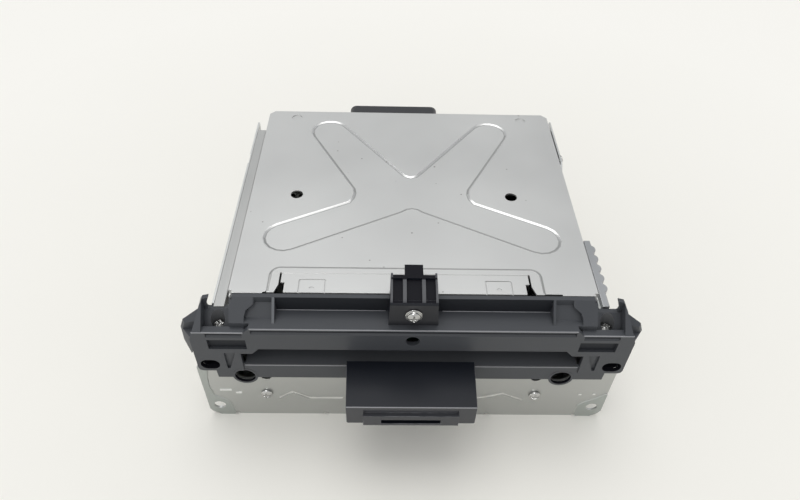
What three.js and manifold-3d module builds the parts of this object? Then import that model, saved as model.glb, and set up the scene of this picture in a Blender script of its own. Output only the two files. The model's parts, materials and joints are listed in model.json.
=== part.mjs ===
// A car radio with a disc player, seen without its front panel.
// Millimetres. X runs to the right seen from the front, Y to the back and Z up.
// While it is built, X = 0 is the middle of the top cover, Y = 0 the front face of the
// moulded bracket and Z = 0 the underside of the steel case.
import * as THREE from 'three';
import { mergeVertices } from 'three/addons/utils/BufferGeometryUtils.js';
import { ConvexGeometry } from 'three/addons/geometries/ConvexGeometry.js';
import Module from 'manifold-3d';

const wasm = await Module();
wasm.setup();

// Sizes that several pieces share
const sheet = 1;
const gap = 0.3;
const seat = 0.1;
const overrun = 1.5;
const moulding = 2;
const frontShift = -1.3;
const deckX = -3.7;
const discY = 80;
const discZ = 52.5;
const roundSides = 24;
const smallSides = 12;
const quarter = Math.PI / 2;
const fullTurn = Math.PI + Math.PI;

// Steel case: two side walls that stand at unlike distances, a floor and a back
const tub = {
  left: 91.3, right: 86.4, leftTop: 73.6, rightTop: 71.5,
  rearHalf: 81, rearTop: 79.6, rearLeftTop: 66, rearRightTop: 71,
  tabStart: 118, tabRamp: 6, tabTop: 77, noseStart: 14,
  notchStart: 117.5, notchLength: 8, notchDepth: 1.2,
  ribPress: 0.8, ribWidth: 9, ribInset: 26, ribEndGap: 22,
  lugWidth: 16, lugHeight: 26,
  ledge: 5, ledgeLength: 9, ledgeStart: 34, ledgePitch: 46, ledgeCount: 3,
};
const vents = {
  width: 2.4, height: 26, pitch: 6.5, count: 7, low: 24, start: -84,
  sideWidth: 3, sideHeight: 16, sidePitch: 9, sideCount: 6, sideLow: 6, sideStart: 78,
};

// Top cover: a plate with a pressed cross and a pressed band along its front edge
const cover = {
  half: 83, front: 14, rear: 159, top: 81, drop: 13.5, rearDrop: 8, cornerCut: 3,
  flangeRear: 156, holeRadius: 3.15, holeLeft: -59.4, holeRight: 51.9, holeY: 82,
  press: 0.6, dimpleRadius: 3, dimpleX: 66.5, dimpleY: 152.5, dimpleDepth: 0.5,
  screwX: 60, screwZ: 76, sideScrewY: 125, sideScrewZ: 73,
};
const cross = {
  vTop: 96.7, vBottom: 71.6, sideX: 30, sideTop: 88.5, sideBottom: 79.6, blend: 5,
  upX: 46, upY: 139, upRadius: 10.5, downX: 62.3, downY: 50.5, downRadius: 10.2,
  upStart: 2.48, upEnd: -0.51, downStart: 1.07, downEnd: -2.04,
};
const lip = {
  left: -66, right: 58.8, depth: 16, corner: 5,
  slitWidth: 0.9, slitLength: 12, slitLeft: -60.7, slitRight: 52.7, ventIn: 2.2, ventOut: 2, ventDepth: 6,
  tongueHalf: 5.6, tongueDepth: 7.6, tongueLeft: -46, tongueRight: 38.2, tongueCut: 0.5, tongueGroove: 0.5,
  tongueCorner: 1, pipRadius: 1.1, pipDepth: 0.3, pipY: 16.5,
  creaseY: 25.3, creaseWidth: 0.5, creaseDepth: 0.2,
  nickDepth: 0.8, nicks: [[-67.8, -65.9], [58.4, 66.6]], cornerNick: 1.5,
};

// Steel front plate behind the moulding
const plate = {
  half: 100.5, top: 62, corner: 5, slotHalf: 80.8, slotBottom: 44.2,
  screwLeft: -69.9, screwRight: 63.7, screwZ: 19.2, screwHole: 1.9,
  cornerHoleX: 94.85, cornerHoleZ: 8.8, cornerHoleRadius: 2.95, padPress: 0.5,
  darkHoleLeft: -68.7, darkHoleRight: 62.2, darkHoleZ: 33.9, darkHoleRadius: 2.75,
  notchHalf: 2, notchTip: 0.6, notchDepth: 1.4, notchX: 87.2, smallNotchX: 41.8,
  tabHalf: 5.5, tabDepth: 8.5, ribPress: 0.5, ribWidth: 2, boxClear: 0.6, markPress: 0.3, markWidth: 0.8,
  padLeft: [[-95.4, 41], [-97, 31], [-97.2, 24], [-95.8, 17], [-91.5, 14], [-88.5, 10], [-87.8, 1.6]],
  padRight: [[99, 20], [95, 16.5], [89.5, 12.7], [86.9, 9.9], [86.6, 1.6]],
  marks: [[-92.8, -87, 21.7], [-85.2, -82.3, 19.3], [85.8, 87.4, 19.6], [92.9, 94.3, 20]],
  ribLeft: [[-64.5, 14.2], [-57.3, 19.9], [-49.2, 14.6], [-32.1, 14.8]],
  ribRight: [[35.1, 15], [47.7, 19.4], [58.6, 13.4]],
};

// Moulded front bracket with its gutter, two ears and the lip under the disc slot
const bar = {
  top: 72.7, floor: 1.5, rim: 81, rimFront: 11.5, rimRear: 13.7, rimCorner: 1.2, half: 73.2,
  slotTop: 58.3, slotStep: 54.7, slotFloor: 46, slotHalf: 70.3, stepHalf: 73.5, endHalf: 78.9, floorHalf: 78,
  ledge: 10.3, lipBottom: 35.1, lipHalf: 92.4, lipTaper: 0.3, lipBack: 0.7,
  pocketHalf: 62.6, ribWidth: 1.2, ribFoot: 3.4, holeRadius: 3.15, holeZ: 65.1,
  shoulderHalf: 82, scoopFar: 75.4, scoopCorner: 4.4, scoopBend: 1.4, scoopLow: 1.9, scoopHigh: 5.8,
    scoopDepth: 3.3,
  bossLeft: -79.3, bossRight: 72, bossZ: 36.2, bossRadius: 6, bossHole: 4.85,
  grooveDrop: 1, grooveHeight: 1.9, grooveDepth: 0.8,
};
// The places along an ear are given as distances in from its outer side
const ear = {
  half: 100, top: 70, shoulderZ: 65, bottom: 41.4, corner: 2, cornerBend: 0.6, wall: 2, wedge: 5.8,
    thick: 3.7,
  hornIn: 4.7, hornZ: 77.8, tipZ: 79.6, peakIn: 8.5, peakZ: 80.3, notchTopIn: 8.6, notchTopZ: 80,
  notchSideIn: 6.8, notchSideZ: 75, notchFootIn: 7.8, notchBottom: 72.8, notchBlend: 1.7,
  floorTop: 64.8, floor: 2.5, innerIn: 24.4, grooveDrop: 0.7, grooveInset: 0.8,
  windowLow: 58.2, windowHigh: 64.8, windowInner: 24.65, windowOuter: 7.4, windowDepth: 1.5,
  slotIn: 6, slotZ: 46.3, slotHalf: 4.45, slotRadius: 3.35,
  markTop: 55, markBottom: 43.3, markTopOuter: 13.5, markTopInner: 18.7, markBottomOuter: 13.6,
    markBottomInner: 14.8,
  markDepth: 1.2, screwIn: 11.9, screwY: 8.3, screwHead: 2.7, screwLength: 4, screwSeat: 65, screwWell: 3.2,
};
const wing = {
  rootTop: 71.5, rootBottom: 50.5, frontHigh: 60, frontY: 0.9, sink: 0.9, hollowDepth: 9,
  crest: [[5, 10.5, 66.6], [7, 10.5, 61.3]],
  leftTail: [[7, 10.5, 56.7], [6.1, 8, 54.6], [1.2, 0.9, 53.8]],
  rightTail: [[0.4, 2, 60.5]],
  hollow: [[0.2, 61.5], [6, 61.5], [5.2, 64.8], [-1.5, 69.6]],
};

// Clip tower that stands in the gutter and reaches over the cover
const tower = {
  x: -0.5, half: 11.1, topHalf: 10.2, front: 3.2, springZ: 85.8, top: 90.7, rear: 16.9, ribWidth: 1.8,
    ribRear: 18,
  innerRib: 4.15, innerWidth: 1.6, panel: 1.4, panelLow: 87, panelRear: 15.1, under: 3.2,
  tongueHalf: 4.1, tongueRear: 23.2, tongueThick: 3, screwZ: 79.9, archSteps: 8,
};

// Connector box at the front
const box = {
  x: 0.4, half: 29.8, frontHalf: 29, front: -24.2, top: 49.3, bottom: 36.3, bottomCorner: 1.4, wall: 1.8,
  recessHalf: 21.2, recessLow: 43.3, recessHigh: 47.1, recessDepth: 1.1,
  noseHalf: 21.5, noseFront: -25, noseBottom: 35.7, noseDepth: 13,
  slotHalf: 13.45, slotLow: 37.2, slotHigh: 40.1, slotDepth: 9,
  pinCount: 12, pinHalf: 0.4, pinLength: 5, neckHalf: 26, neckLow: 38, neckHigh: 43.8, neckRear: 14,
};

// Heat sink on the right wall
const sink = {
  start: 14.2, end: 57.5, low: 12, high: 73.8, base: 3.2, ribHeight: 1.6,
  ribFirst: 25.7, ribPitch: 6.45, ribRadius: 2.9, ribCount: 5, screwInset: 12, screwFront: 4.2, ribSteps: 5,
};

// Screws
const screw = { headRadius: 3, headHeight: 2, shankRadius: 1.4, slotHalf: 0.45, slotDepth: 0.9, length: 6 };
const washerHead = { radius: 3.95, height: 0.9 };

// Rear socket for the vehicle loom, its board and the two aerial sockets
const socket = {
  x: -9.1, half: 27.3, top: 72, bottom: 30, rear: 180.5, wall: 2, corner: 4, back: 3,
  flange: 2.4, flangeThick: 1.4, boardFace: 153.8, divider: 48, dividerWall: 1.6,
  pinRows: 2, pinColumns: 8, pinHalf: 0.7, pinLength: 12, pinPitch: 5.4, pinRowPitch: 6.5, pinLow: 36.5,
  bladeColumns: 4, bladePitch: 10.5, bladeHalf: 2, bladeZ: 60, bladeThick: 0.5, carrier: 1, carrierReach: 2,
};
const rearBoard = { thick: 1.6, half: 32, high: 70 };
const aerial = {
  x: 42, z: 52, pitch: 16, half: 6.4, length: 12, bore: 4.4, boreDepth: 9, pin: 0.9, flange: 1.2, foot: 1.4,
};

// Main board and what stands on it
const board = {
  left: -82, right: 83, front: 26, rear: 153.6, low: 10, thick: 1.6,
  pillarFoot: 5, pillarTop: 3, pillarInset: 6, holeRadius: 1.8,
};
const amp = { outer: 84, y: 36, width: 30, thick: 4.5, height: 17, legs: 7, legHalf: 0.6, legPitch: 4,
    legRise: 3 };
const capacitor = { x: -70, y: 70, pitch: 14, radius: 5.2, height: 18, rimCut: 0.8 };
const tunerCan = { x: 34, y: 60, width: 40, depth: 34, height: 9.5, rim: 1.2 };
const chip = { x: -20, y: 70, size: 22, height: 2.4, pitch: 38, chamfer: 2 };

// Disc deck: a steel frame that stands on four rubber dampers
const rail = { low: 26, shelf: 36, reach: 63.5, front: 40, rear: 141, lugLength: 13 };
const damper = { offset: 70, front: 48, rear: 132, foot: 4.6, waist: 3.2, neck: 2, cap: 3.9,
    capHeight: 2.2 };
const deck = {
  half: 62, front: 14.5, rear: 149, level: 44, flange: 7, holeRadius: 2.4, tabHalf: 6, tabReach: 76,
  shaftHole: 5, windowHalf: 9, windowStart: 97.5, windowEnd: 145,
  rollerFront: 15.6, rollerRear: 25.6, rollerHalf: 56.5, cheek: 58.8, cheekTop: 51.2, cheekHalf: 4.2,
  lugFront: 14.5, lugRear: 46, lugLow: 22.5, rodLugHalf: 29.8, rodLugLow: 35, rodLugFront: 94.6,
  hingeX: 30, hingeTop: 66, hingeHalf: 4.5,
};
const roller = { y: 20.6, z: 47.5, shaft: 1.5, endRadius: 3.9, midRadius: 2.7, half: 54.5, bore: 1.6 };
const gears = {
  module: 0.8, rollerTeeth: 16, middleTeeth: 24, pinionTeeth: 10, width: 4, tipShare: 0.85, rootShare: 1.2,
};
const teeth = { pitchShare: 0.4, tipWidthShare: 0.2, rootWidthShare: 0.62 };
const middleGear = { dy: 1.4, stud: 1.4 };
const loadMotor = { radius: 7.8, length: 24, shaft: 0.9, nose: 2.6, shaftDepth: 4, sides: 24 };
const spindle = {
  canRadius: 13.6, canLow: 36.6, floor: 1.6, shaft: 1.2, plateRadius: 13.5, plateThick: 1.6, boss: 4.2,
  hub: 7.3, hubRise: 1.9, hubTip: 4, shaftBore: 1.5, bossLow: 45.6, sides: 24,
};
const sled = {
  out: 24.6, half: 20, length: 8.6, rodX: 15, rodDrop: 4.4, rodRadius: 1.5, drop: 4,
  lensHalf: 5, lensAbove: 8, lensRadius: 2.6, lensRise: 1, nutHalf: 3, waist: 4,
};
const leadScrew = { x: 25.2, radius: 1.4, lead: 9.4, motorRadius: 4.2, motorLength: 14, tail: 2 };
const clampArm = {
  hingeInset: 7.5, hingeRise: 17.5, pin: 1.3, pinClear: 0.35, drop: 1.3, halfRear: 28.6, tipRadius: 11,
  shoulder: 6, earHeight: 3.4, earHalf: 4, neckHole: 3.6, ribHalf: 2.4, ribRise: 1.2, ribStart: 16,
    ribEnd: 9.5,
};
const puck = { radius: 14.5, above: 3.4, thick: 3, recess: 8.4, recessDepth: 1.6, neck: 3.1, cap: 5.4,
    capThick: 1 };
const felt = { thick: 1.5, half: 76.5, high: 57.8, slotHalf: 62, slotHeight: 5 };

// Planes and places that follow from the sizes above
const plateFront = moulding + gap;
const plateBack = plateFront + sheet;
const plateTop = plate.top;
const tubFront = plateBack + gap;
const tubRear = cover.rear - sheet - gap;
const noseTop = plateTop - sheet - gap;
const flangeTop = cover.top - cover.drop;
const flangeLow = flangeTop - sheet;
const boardTop = board.low + board.thick;
const discLow = discZ - sheet / 2;
const deckTop = deck.level + sheet;
const sledY = discY + sled.out;
const rodZ = deck.level - sled.rodDrop;
const sledLow = rodZ - sled.drop;
const sledHigh = rodZ + sled.drop;
const lensTop = rodZ + sled.lensAbove;
const screwStart = sledY - leadScrew.lead;
const hingeY = deck.rear - clampArm.hingeInset;
const hingeZ = deckTop + clampArm.hingeRise;
const armLevel = hingeZ - clampArm.drop;
const puckLow = discLow + sheet + puck.above;
const gearStart = deck.half + sheet;
const gearEnd = gearStart + gears.width;
const nearCentres = gears.module * (gears.rollerTeeth + gears.middleTeeth) / 2;
const farCentres = gears.module * (gears.middleTeeth + gears.pinionTeeth) / 2;
const middleY = roller.y + middleGear.dy;
const middleZ = roller.z - Math.sqrt(nearCentres * nearCentres - middleGear.dy * middleGear.dy);
const pinionY = middleY + farCentres;
const firstMesh = Math.atan2(middleZ - roller.z, middleY - roller.y);
const middlePhase = firstMesh + Math.PI + Math.PI / gears.middleTeeth;
const pinionPhase = Math.PI + Math.PI / gears.pinionTeeth - middlePhase * gears.middleTeeth / gears.pinionTeeth;

// Solids from three.js geometries

function solid(geometry) {
  const plain = geometry.clone();
  plain.deleteAttribute('normal');
  plain.deleteAttribute('uv');
  const merged = mergeVertices(plain);
  const corners = merged.index.array;
  const kept = [];
  for (let i = 0; i < corners.length; i += 3) {
    const [a, b, c] = [corners[i], corners[i + 1], corners[i + 2]];
    if (a !== b && b !== c && c !== a) {
      kept.push(a, b, c);
    }
  }
  return new wasm.Manifold(new wasm.Mesh({
    numProp: 3,
    vertProperties: new Float32Array(merged.attributes.position.array),
    triVerts: new Uint32Array(kept),
  }));
}

function block(x0, x1, y0, y1, z0, z1) {
  const geometry = new THREE.BoxGeometry(x1 - x0, y1 - y0, z1 - z0);
  geometry.translate((x0 + x1) / 2, (y0 + y1) / 2, (z0 + z1) / 2);
  return solid(geometry);
}

// Turns a solid drawn in (u, v) and grown along w into the part's axes
const turns = {
  x: new THREE.Matrix4().makeBasis(
    new THREE.Vector3(0, 1, 0), new THREE.Vector3(0, 0, 1), new THREE.Vector3(1, 0, 0)),
  y: new THREE.Matrix4().makeBasis(
    new THREE.Vector3(1, 0, 0), new THREE.Vector3(0, 0, 1), new THREE.Vector3(0, -1, 0)),
  z: new THREE.Matrix4(),
};

// A drawn outline grown along an axis. Along X it is drawn in (y, z), along Y in (x, z), along Z in (x, y).
function prism(outline, axis, from, to, curveSegments = 4) {
  const drawn = outline instanceof THREE.Shape;
  const shape = drawn ? outline : new THREE.Shape(outline.map(([u, v]) => new THREE.Vector2(u, v)));
  const geometry = new THREE.ExtrudeGeometry(shape, { depth: to - from, bevelEnabled: false,
      curveSegments });
  geometry.applyMatrix4(turns[axis]);
  const start = axis === 'y' ? to : from;
  geometry.translate(axis === 'x' ? start : 0, axis === 'y' ? start : 0, axis === 'z' ? start : 0);
  return solid(geometry);
}

// A turned solid: the profile is a list of [radius, height along the axis]
function turned(profile, axis, u, v, sides = roundSides) {
  const geometry = new THREE.LatheGeometry(profile.map(([r, h]) => new THREE.Vector2(r, h)), sides);
  if (axis === 'z') {
    geometry.rotateX(quarter);
    geometry.translate(u, v, 0);
  }
  if (axis === 'x') {
    geometry.rotateZ(-quarter);
    geometry.translate(0, u, v);
  }
  if (axis === 'y') {
    geometry.translate(u, 0, v);
  }
  return solid(geometry);
}

function rod(radius, axis, from, to, u, v, sides = roundSides) {
  return turned([[0, from], [radius, from], [radius, to], [0, to]], axis, u, v, sides);
}

function join(solids) {
  return solids.reduce((sum, next) => sum.add(next));
}

function cutAll(body, cutters) {
  return cutters.length ? body.subtract(join(cutters)) : body;
}

function mirrored(points) {
  return points.map(([u, v]) => [-u, v]).reverse();
}

// A rectangle with round corners
function roundRect(u0, u1, v0, v1, r) {
  const shape = new THREE.Shape();
  shape.moveTo(u0 + r, v0);
  shape.lineTo(u1 - r, v0);
  shape.absarc(u1 - r, v0 + r, r, -quarter, 0, false);
  shape.lineTo(u1, v1 - r);
  shape.absarc(u1 - r, v1 - r, r, 0, quarter, false);
  shape.lineTo(u0 + r, v1);
  shape.absarc(u0 + r, v1 - r, r, quarter, Math.PI, false);
  shape.lineTo(u0, v0 + r);
  shape.absarc(u0 + r, v0 + r, r, Math.PI, Math.PI + quarter, false);
  return shape;
}

// Presses an outline upwards out of a level sheet whose top is given
function pressUp(body, outline, top, rise) {
  return body.add(prism(outline, 'z', top - rise, top + rise)).subtract(
    prism(outline, 'z', top - sheet - overrun, top - sheet + rise));
}

const surface = (color, roughness, metalness) => new THREE.MeshStandardMaterial({
  color, roughness, metalness, flatShading: true });
const steel = () => surface(0xb9bcba, 0.42, 0.85);
const aluminium = () => surface(0x8f9394, 0.5, 0.8);
const blackMoulding = () => surface(0x2b2d31, 0.55, 0);
const darkMoulding = () => surface(0x15161a, 0.4, 0);
const rubber = () => surface(0x1b1b1c, 0.9, 0);
const whiteMoulding = () => surface(0xd8d5cb, 0.5, 0);
const boardGreen = () => surface(0x1f5a36, 0.6, 0.1);
const bright = () => surface(0xd6d8d8, 0.25, 0.95);
const brassy = () => surface(0xc9a54c, 0.3, 0.9);

function piece(name, body, material) {
  const made = body.getMesh();
  const geometry = new THREE.BufferGeometry();
  geometry.setAttribute('position', new THREE.BufferAttribute(new Float32Array(made.vertProperties), 3));
  geometry.setIndex(new THREE.BufferAttribute(new Uint32Array(made.triVerts), 1));
  geometry.computeVertexNormals();
  const mesh = new THREE.Mesh(geometry, material);
  mesh.name = name;
  return mesh;
}

// A pan head screw whose head sits against the plane at height 0 of its axis and points to +1 or -1
function panScrew(axis, u, v, face, way, length, headRadius = screw.headRadius, washer = false) {
  const headStart = washer ? washerHead.height : 0;
  const crown = headStart + screw.headHeight;
  const profile = [[0, -length], [screw.shankRadius, -length], [screw.shankRadius, 0]];
  if (washer) {
    profile.push([washerHead.radius, 0], [washerHead.radius, headStart]);
  }
  profile.push([headRadius, headStart], [headRadius, headStart + screw.headHeight / 2],
      [screw.shankRadius, crown], [0, crown]);
  const placed = profile.map(([r, h]) => [r, face + way * h]);
  const body = turned(way > 0 ? placed : placed.reverse(), axis, u, v, smallSides);
  const [low, high] = way > 0 ? [crown - screw.slotDepth, crown + overrun] : [-crown - overrun,
      screw.slotDepth - crown];
  const arm = screw.shankRadius + screw.slotHalf;
  const cutters = [[arm, screw.slotHalf], [screw.slotHalf, arm]].map(([a, b]) => {
    if (axis === 'x') {
      return block(face + low, face + high, u - a, u + a, v - b, v + b);
    }
    if (axis === 'y') {
      return block(u - a, u + a, face + low, face + high, v - b, v + b);
    }
    return block(u - a, u + a, v - b, v + b, face + low, face + high);
  });
  return cutAll(body, cutters);
}
// Case

function boardCorners() {
  const { left, right, rear, pillarInset } = board;
  const [x0, x1, y0, y1] = [left + pillarInset, right - pillarInset, board.front + pillarInset,
      rear - pillarInset];
  return [[x0, y0], [x1, y0], [x0, y1], [x1, y1]];
}

function chassisTub() {
  const [left, right] = [-tub.left, tub.right];
  const leftOutline = [
    [tubFront, 0], [tubRear, 0], [tubRear, tub.leftTop], [tub.noseStart, tub.leftTop], [tub.noseStart,
        noseTop],
    [tubFront, noseTop]];
  const rightOutline = [
    [tubFront, 0], [tubRear, 0], [tubRear, tub.tabTop], [tub.tabStart, tub.tabTop],
    [tub.tabStart - tub.tabRamp, tub.rightTop], [tub.noseStart, tub.rightTop], [tub.noseStart, noseTop],
    [tubFront, noseTop]];
  const rearOutline = [
    [left, 0], [right, 0], [right, tub.rearRightTop], [tub.rearHalf, tub.rearRightTop], [tub.rearHalf,
        tub.rearTop],
    [-tub.rearHalf, tub.rearTop], [-tub.rearHalf, tub.rearLeftTop], [left, tub.rearLeftTop]];
  const pillar = ([x, y]) => turned(
    [[0, 0], [board.pillarFoot, 0], [board.pillarTop, board.low - seat], [0, board.low - seat]], 'z', x,
        y, smallSides);
  const parts = [
    block(left, right, tubFront, tubRear, 0, sheet),
    ...boardCorners().map(pillar),
    prism(leftOutline, 'x', left, left + sheet),
    prism(rightOutline, 'x', right - sheet, right),
    prism(rearOutline, 'y', tubRear - sheet, tubRear),
  ];
  const plateScrews = [plate.screwLeft + frontShift, plate.screwRight + frontShift];
  for (const x of plateScrews) {
    parts.push(block(x - tub.lugWidth / 2, x + tub.lugWidth / 2, tubFront, tubFront + sheet, 0,
        tub.lugHeight));
  }
  const ledgeTop = flangeLow - seat;
  for (let i = 0; i < tub.ledgeCount; i += 1) {
    const y = tub.ledgeStart + i * tub.ledgePitch;
    const end = y + tub.ledgeLength;
    parts.push(block(left, left + sheet + tub.ledge, y, end, ledgeTop - sheet, ledgeTop));
    parts.push(block(right - sheet - tub.ledge, right, y, end, ledgeTop - sheet, ledgeTop));
  }
  let body = join(parts);
  for (const x of [left + tub.ribInset, right - tub.ribInset]) {
    const halfRib = tub.ribWidth / 2;
    const outline = roundRect(
      x - halfRib, x + halfRib, tubFront + tub.ribEndGap, tubRear - tub.ribEndGap, halfRib - seat);
    body = pressUp(body, outline, sheet, tub.ribPress);
  }
  const [rearIn, rearOut] = [tubRear - sheet - overrun, tubRear + overrun];
  const cutters = [
    block(left - overrun, left + sheet / 2, tub.notchStart, tub.notchStart + tub.notchLength,
      tub.leftTop - tub.notchDepth, tub.leftTop + overrun),
    prism(roundRect(
      socket.x - socket.half - gap, socket.x + socket.half + gap, socket.bottom - gap, socket.top + gap,
      socket.corner), 'y', rearIn, rearOut),
    rod(plate.screwHole, 'x', right - sheet - overrun, right + overrun, cover.sideScrewY,
        cover.sideScrewZ, smallSides),
  ];
  for (let i = 0; i < vents.count; i += 1) {
    const x = vents.start + i * vents.pitch;
    cutters.push(block(x, x + vents.width, rearIn, rearOut, vents.low, vents.low + vents.height));
  }
  for (let i = 0; i < vents.sideCount; i += 1) {
    const y = vents.sideStart + i * vents.sidePitch;
    cutters.push(block(left - overrun, left + sheet + overrun, y, y + vents.sideWidth,
      vents.sideLow, vents.sideLow + vents.sideHeight));
  }
  for (const x of [aerial.x, aerial.x + aerial.pitch]) {
    const reach = aerial.half + gap;
    cutters.push(block(x - reach, x + reach, rearIn, rearOut, aerial.z - reach, aerial.z + reach));
  }
  for (const x of plateScrews) {
    cutters.push(rod(plate.screwHole, 'y', tubFront - overrun, tubFront + sheet + overrun, x,
        plate.screwZ, smallSides));
  }
  for (const x of [-cover.screwX, cover.screwX]) {
    cutters.push(rod(plate.screwHole, 'y', rearIn, rearOut, x, cover.screwZ, smallSides));
  }
  for (const [x, y] of boardCorners()) {
    cutters.push(rod(board.holeRadius, 'z', -overrun, board.low + overrun, x, y, smallSides));
  }
  for (const z of [sink.low + sink.screwInset, sink.high - sink.screwInset]) {
    cutters.push(rod(plate.screwHole, 'x', right - sheet - overrun, right + overrun,
        sink.start + sink.screwFront, z,
      smallSides));
  }
  return cutAll(body, cutters);
}

function crossOutline() {
  const { vTop, vBottom, sideX, blend, upX, upY, upRadius, upStart, upEnd, downX, downY,
      downRadius } = cross;
  const { downStart, downEnd } = cross;
  const sideMiddle = (cross.sideTop + cross.sideBottom) / 2;
  const [sideHigh, sideLow] = [cross.sideTop + blend / 2, cross.sideBottom - blend / 2];
  const shape = new THREE.Shape();
  shape.moveTo(blend, vTop + blend);
  shape.absarc(upX, upY, upRadius, upStart, upEnd, true);
  shape.lineTo(sideX + blend / 2, sideHigh);
  shape.quadraticCurveTo(sideX - blend / 2, sideMiddle, sideX + blend / 2, sideLow);
  shape.absarc(downX, downY, downRadius, downStart, downEnd, true);
  shape.lineTo(blend, vBottom - blend / 2);
  shape.quadraticCurveTo(0, vBottom + blend / 2, -blend, vBottom - blend / 2);
  shape.absarc(-downX, downY, downRadius, Math.PI - downEnd, Math.PI - downStart, true);
  shape.lineTo(-sideX - blend / 2, sideLow);
  shape.quadraticCurveTo(blend / 2 - sideX, sideMiddle, -sideX - blend / 2, sideHigh);
  shape.absarc(-upX, upY, upRadius, Math.PI - upEnd, Math.PI - upStart, true);
  shape.lineTo(-blend, vTop + blend);
  shape.quadraticCurveTo(0, vTop - blend / 2, blend, vTop + blend);
  return shape;
}

function topCover() {
  const { half, front, rear, top, cornerCut } = cover;
  const low = top - sheet;
  const outline = [
    [-half, front], [half, front], [half, rear - cornerCut], [half - cornerCut, rear],
    [cornerCut - half, rear], [-half, rear - cornerCut]];
  let body = join([
    prism(outline, 'z', low, top),
    block(-half, sheet - half, front, rear - cornerCut, flangeLow, top),
    block(half - sheet, half, front, rear - cornerCut, flangeLow, top),
    block(sheet + gap - tub.left, sheet - half, front, cover.flangeRear, flangeLow, flangeTop),
    block(half - sheet, tub.right - sheet - gap, front, cover.flangeRear, flangeLow, flangeTop),
    block(cornerCut - half, half - cornerCut, rear - sheet, rear, top - cover.rearDrop, top),
  ]);
  body = pressUp(body, crossOutline(), top, cover.press);
  const bendY = front + lip.depth - lip.corner;
  const pressed = new THREE.Shape();
  pressed.moveTo(lip.left, front);
  pressed.lineTo(lip.right, front);
  pressed.absarc(lip.right - lip.corner, bendY, lip.corner, 0, quarter, false);
  pressed.absarc(lip.left + lip.corner, bendY, lip.corner, quarter, Math.PI, false);
  body = pressUp(body, pressed, top, cover.press);
  const raised = top + cover.press;
  const cutters = [];
  for (const x of [cover.holeLeft, cover.holeRight]) {
    cutters.push(rod(cover.holeRadius, 'z', low - overrun, top + overrun, x, cover.holeY));
  }
  for (const x of [-cover.dimpleX, cover.dimpleX]) {
    cutters.push(rod(cover.dimpleRadius, 'z', top - cover.dimpleDepth, top + overrun, x, cover.dimpleY,
        smallSides));
  }
  for (const [x, out] of [[lip.slitLeft, -1], [lip.slitRight, 1]]) {
    const halfSlit = lip.slitWidth / 2;
    cutters.push(block(x - halfSlit, x + halfSlit, front, front + lip.slitLength, low - overrun,
        top + overrun));
    cutters.push(prism([
      [x - out * lip.ventIn, front - overrun], [x + out * lip.ventOut, front - overrun],
          [x + out * lip.ventOut, front],
      [x, front + lip.ventDepth], [x - out * lip.ventIn, front + lip.ventDepth]], 'z', low - overrun,
          top + overrun));
  }
  for (const x of [lip.tongueLeft, lip.tongueRight]) {
    const slot = (grow) => roundRect(x - lip.tongueHalf - grow, x + lip.tongueHalf + grow, front - overrun,
      front + lip.tongueDepth + grow, lip.tongueCorner);
    const groove = prism(slot(lip.tongueCut), 'z', raised - lip.tongueGroove, raised + overrun);
    cutters.push(groove.subtract(prism(slot(0), 'z', top - overrun, raised + overrun + overrun)));
    cutters.push(rod(lip.pipRadius, 'z', raised - lip.pipDepth, raised + overrun, x, lip.pipY, smallSides));
  }
  cutters.push(block(lip.slitLeft, lip.slitRight, lip.creaseY, lip.creaseY + lip.creaseWidth,
    raised - lip.creaseDepth, raised + overrun));
  for (const [x0, x1] of lip.nicks) {
    cutters.push(block(x0, x1, front - overrun, front + lip.nickDepth, low - overrun, raised + overrun));
  }
  for (const side of [-1, 1]) {
    const x = side * (half + overrun - (lip.cornerNick + overrun) / 2);
    const reach = (lip.cornerNick + overrun) / 2;
    cutters.push(block(x - reach, x + reach, front - overrun, front + lip.cornerNick, low - overrun,
        top + overrun));
  }
  for (const x of [-cover.screwX, cover.screwX]) {
    cutters.push(rod(screw.shankRadius + gap, 'y', rear - sheet - overrun, rear + overrun, x,
        cover.screwZ, smallSides));
  }
  cutters.push(rod(screw.shankRadius + gap, 'x', half - sheet - overrun, half + overrun, cover.sideScrewY,
      cover.sideScrewZ,
    smallSides));
  return cutAll(body, cutters);
}

// A narrow band along a drawn line, as an outline
function band(points, width) {
  const above = points.map(([u, v]) => [u, v + width / 2]);
  const below = points.map(([u, v]) => [u, v - width / 2]).reverse();
  return above.concat(below);
}

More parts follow.
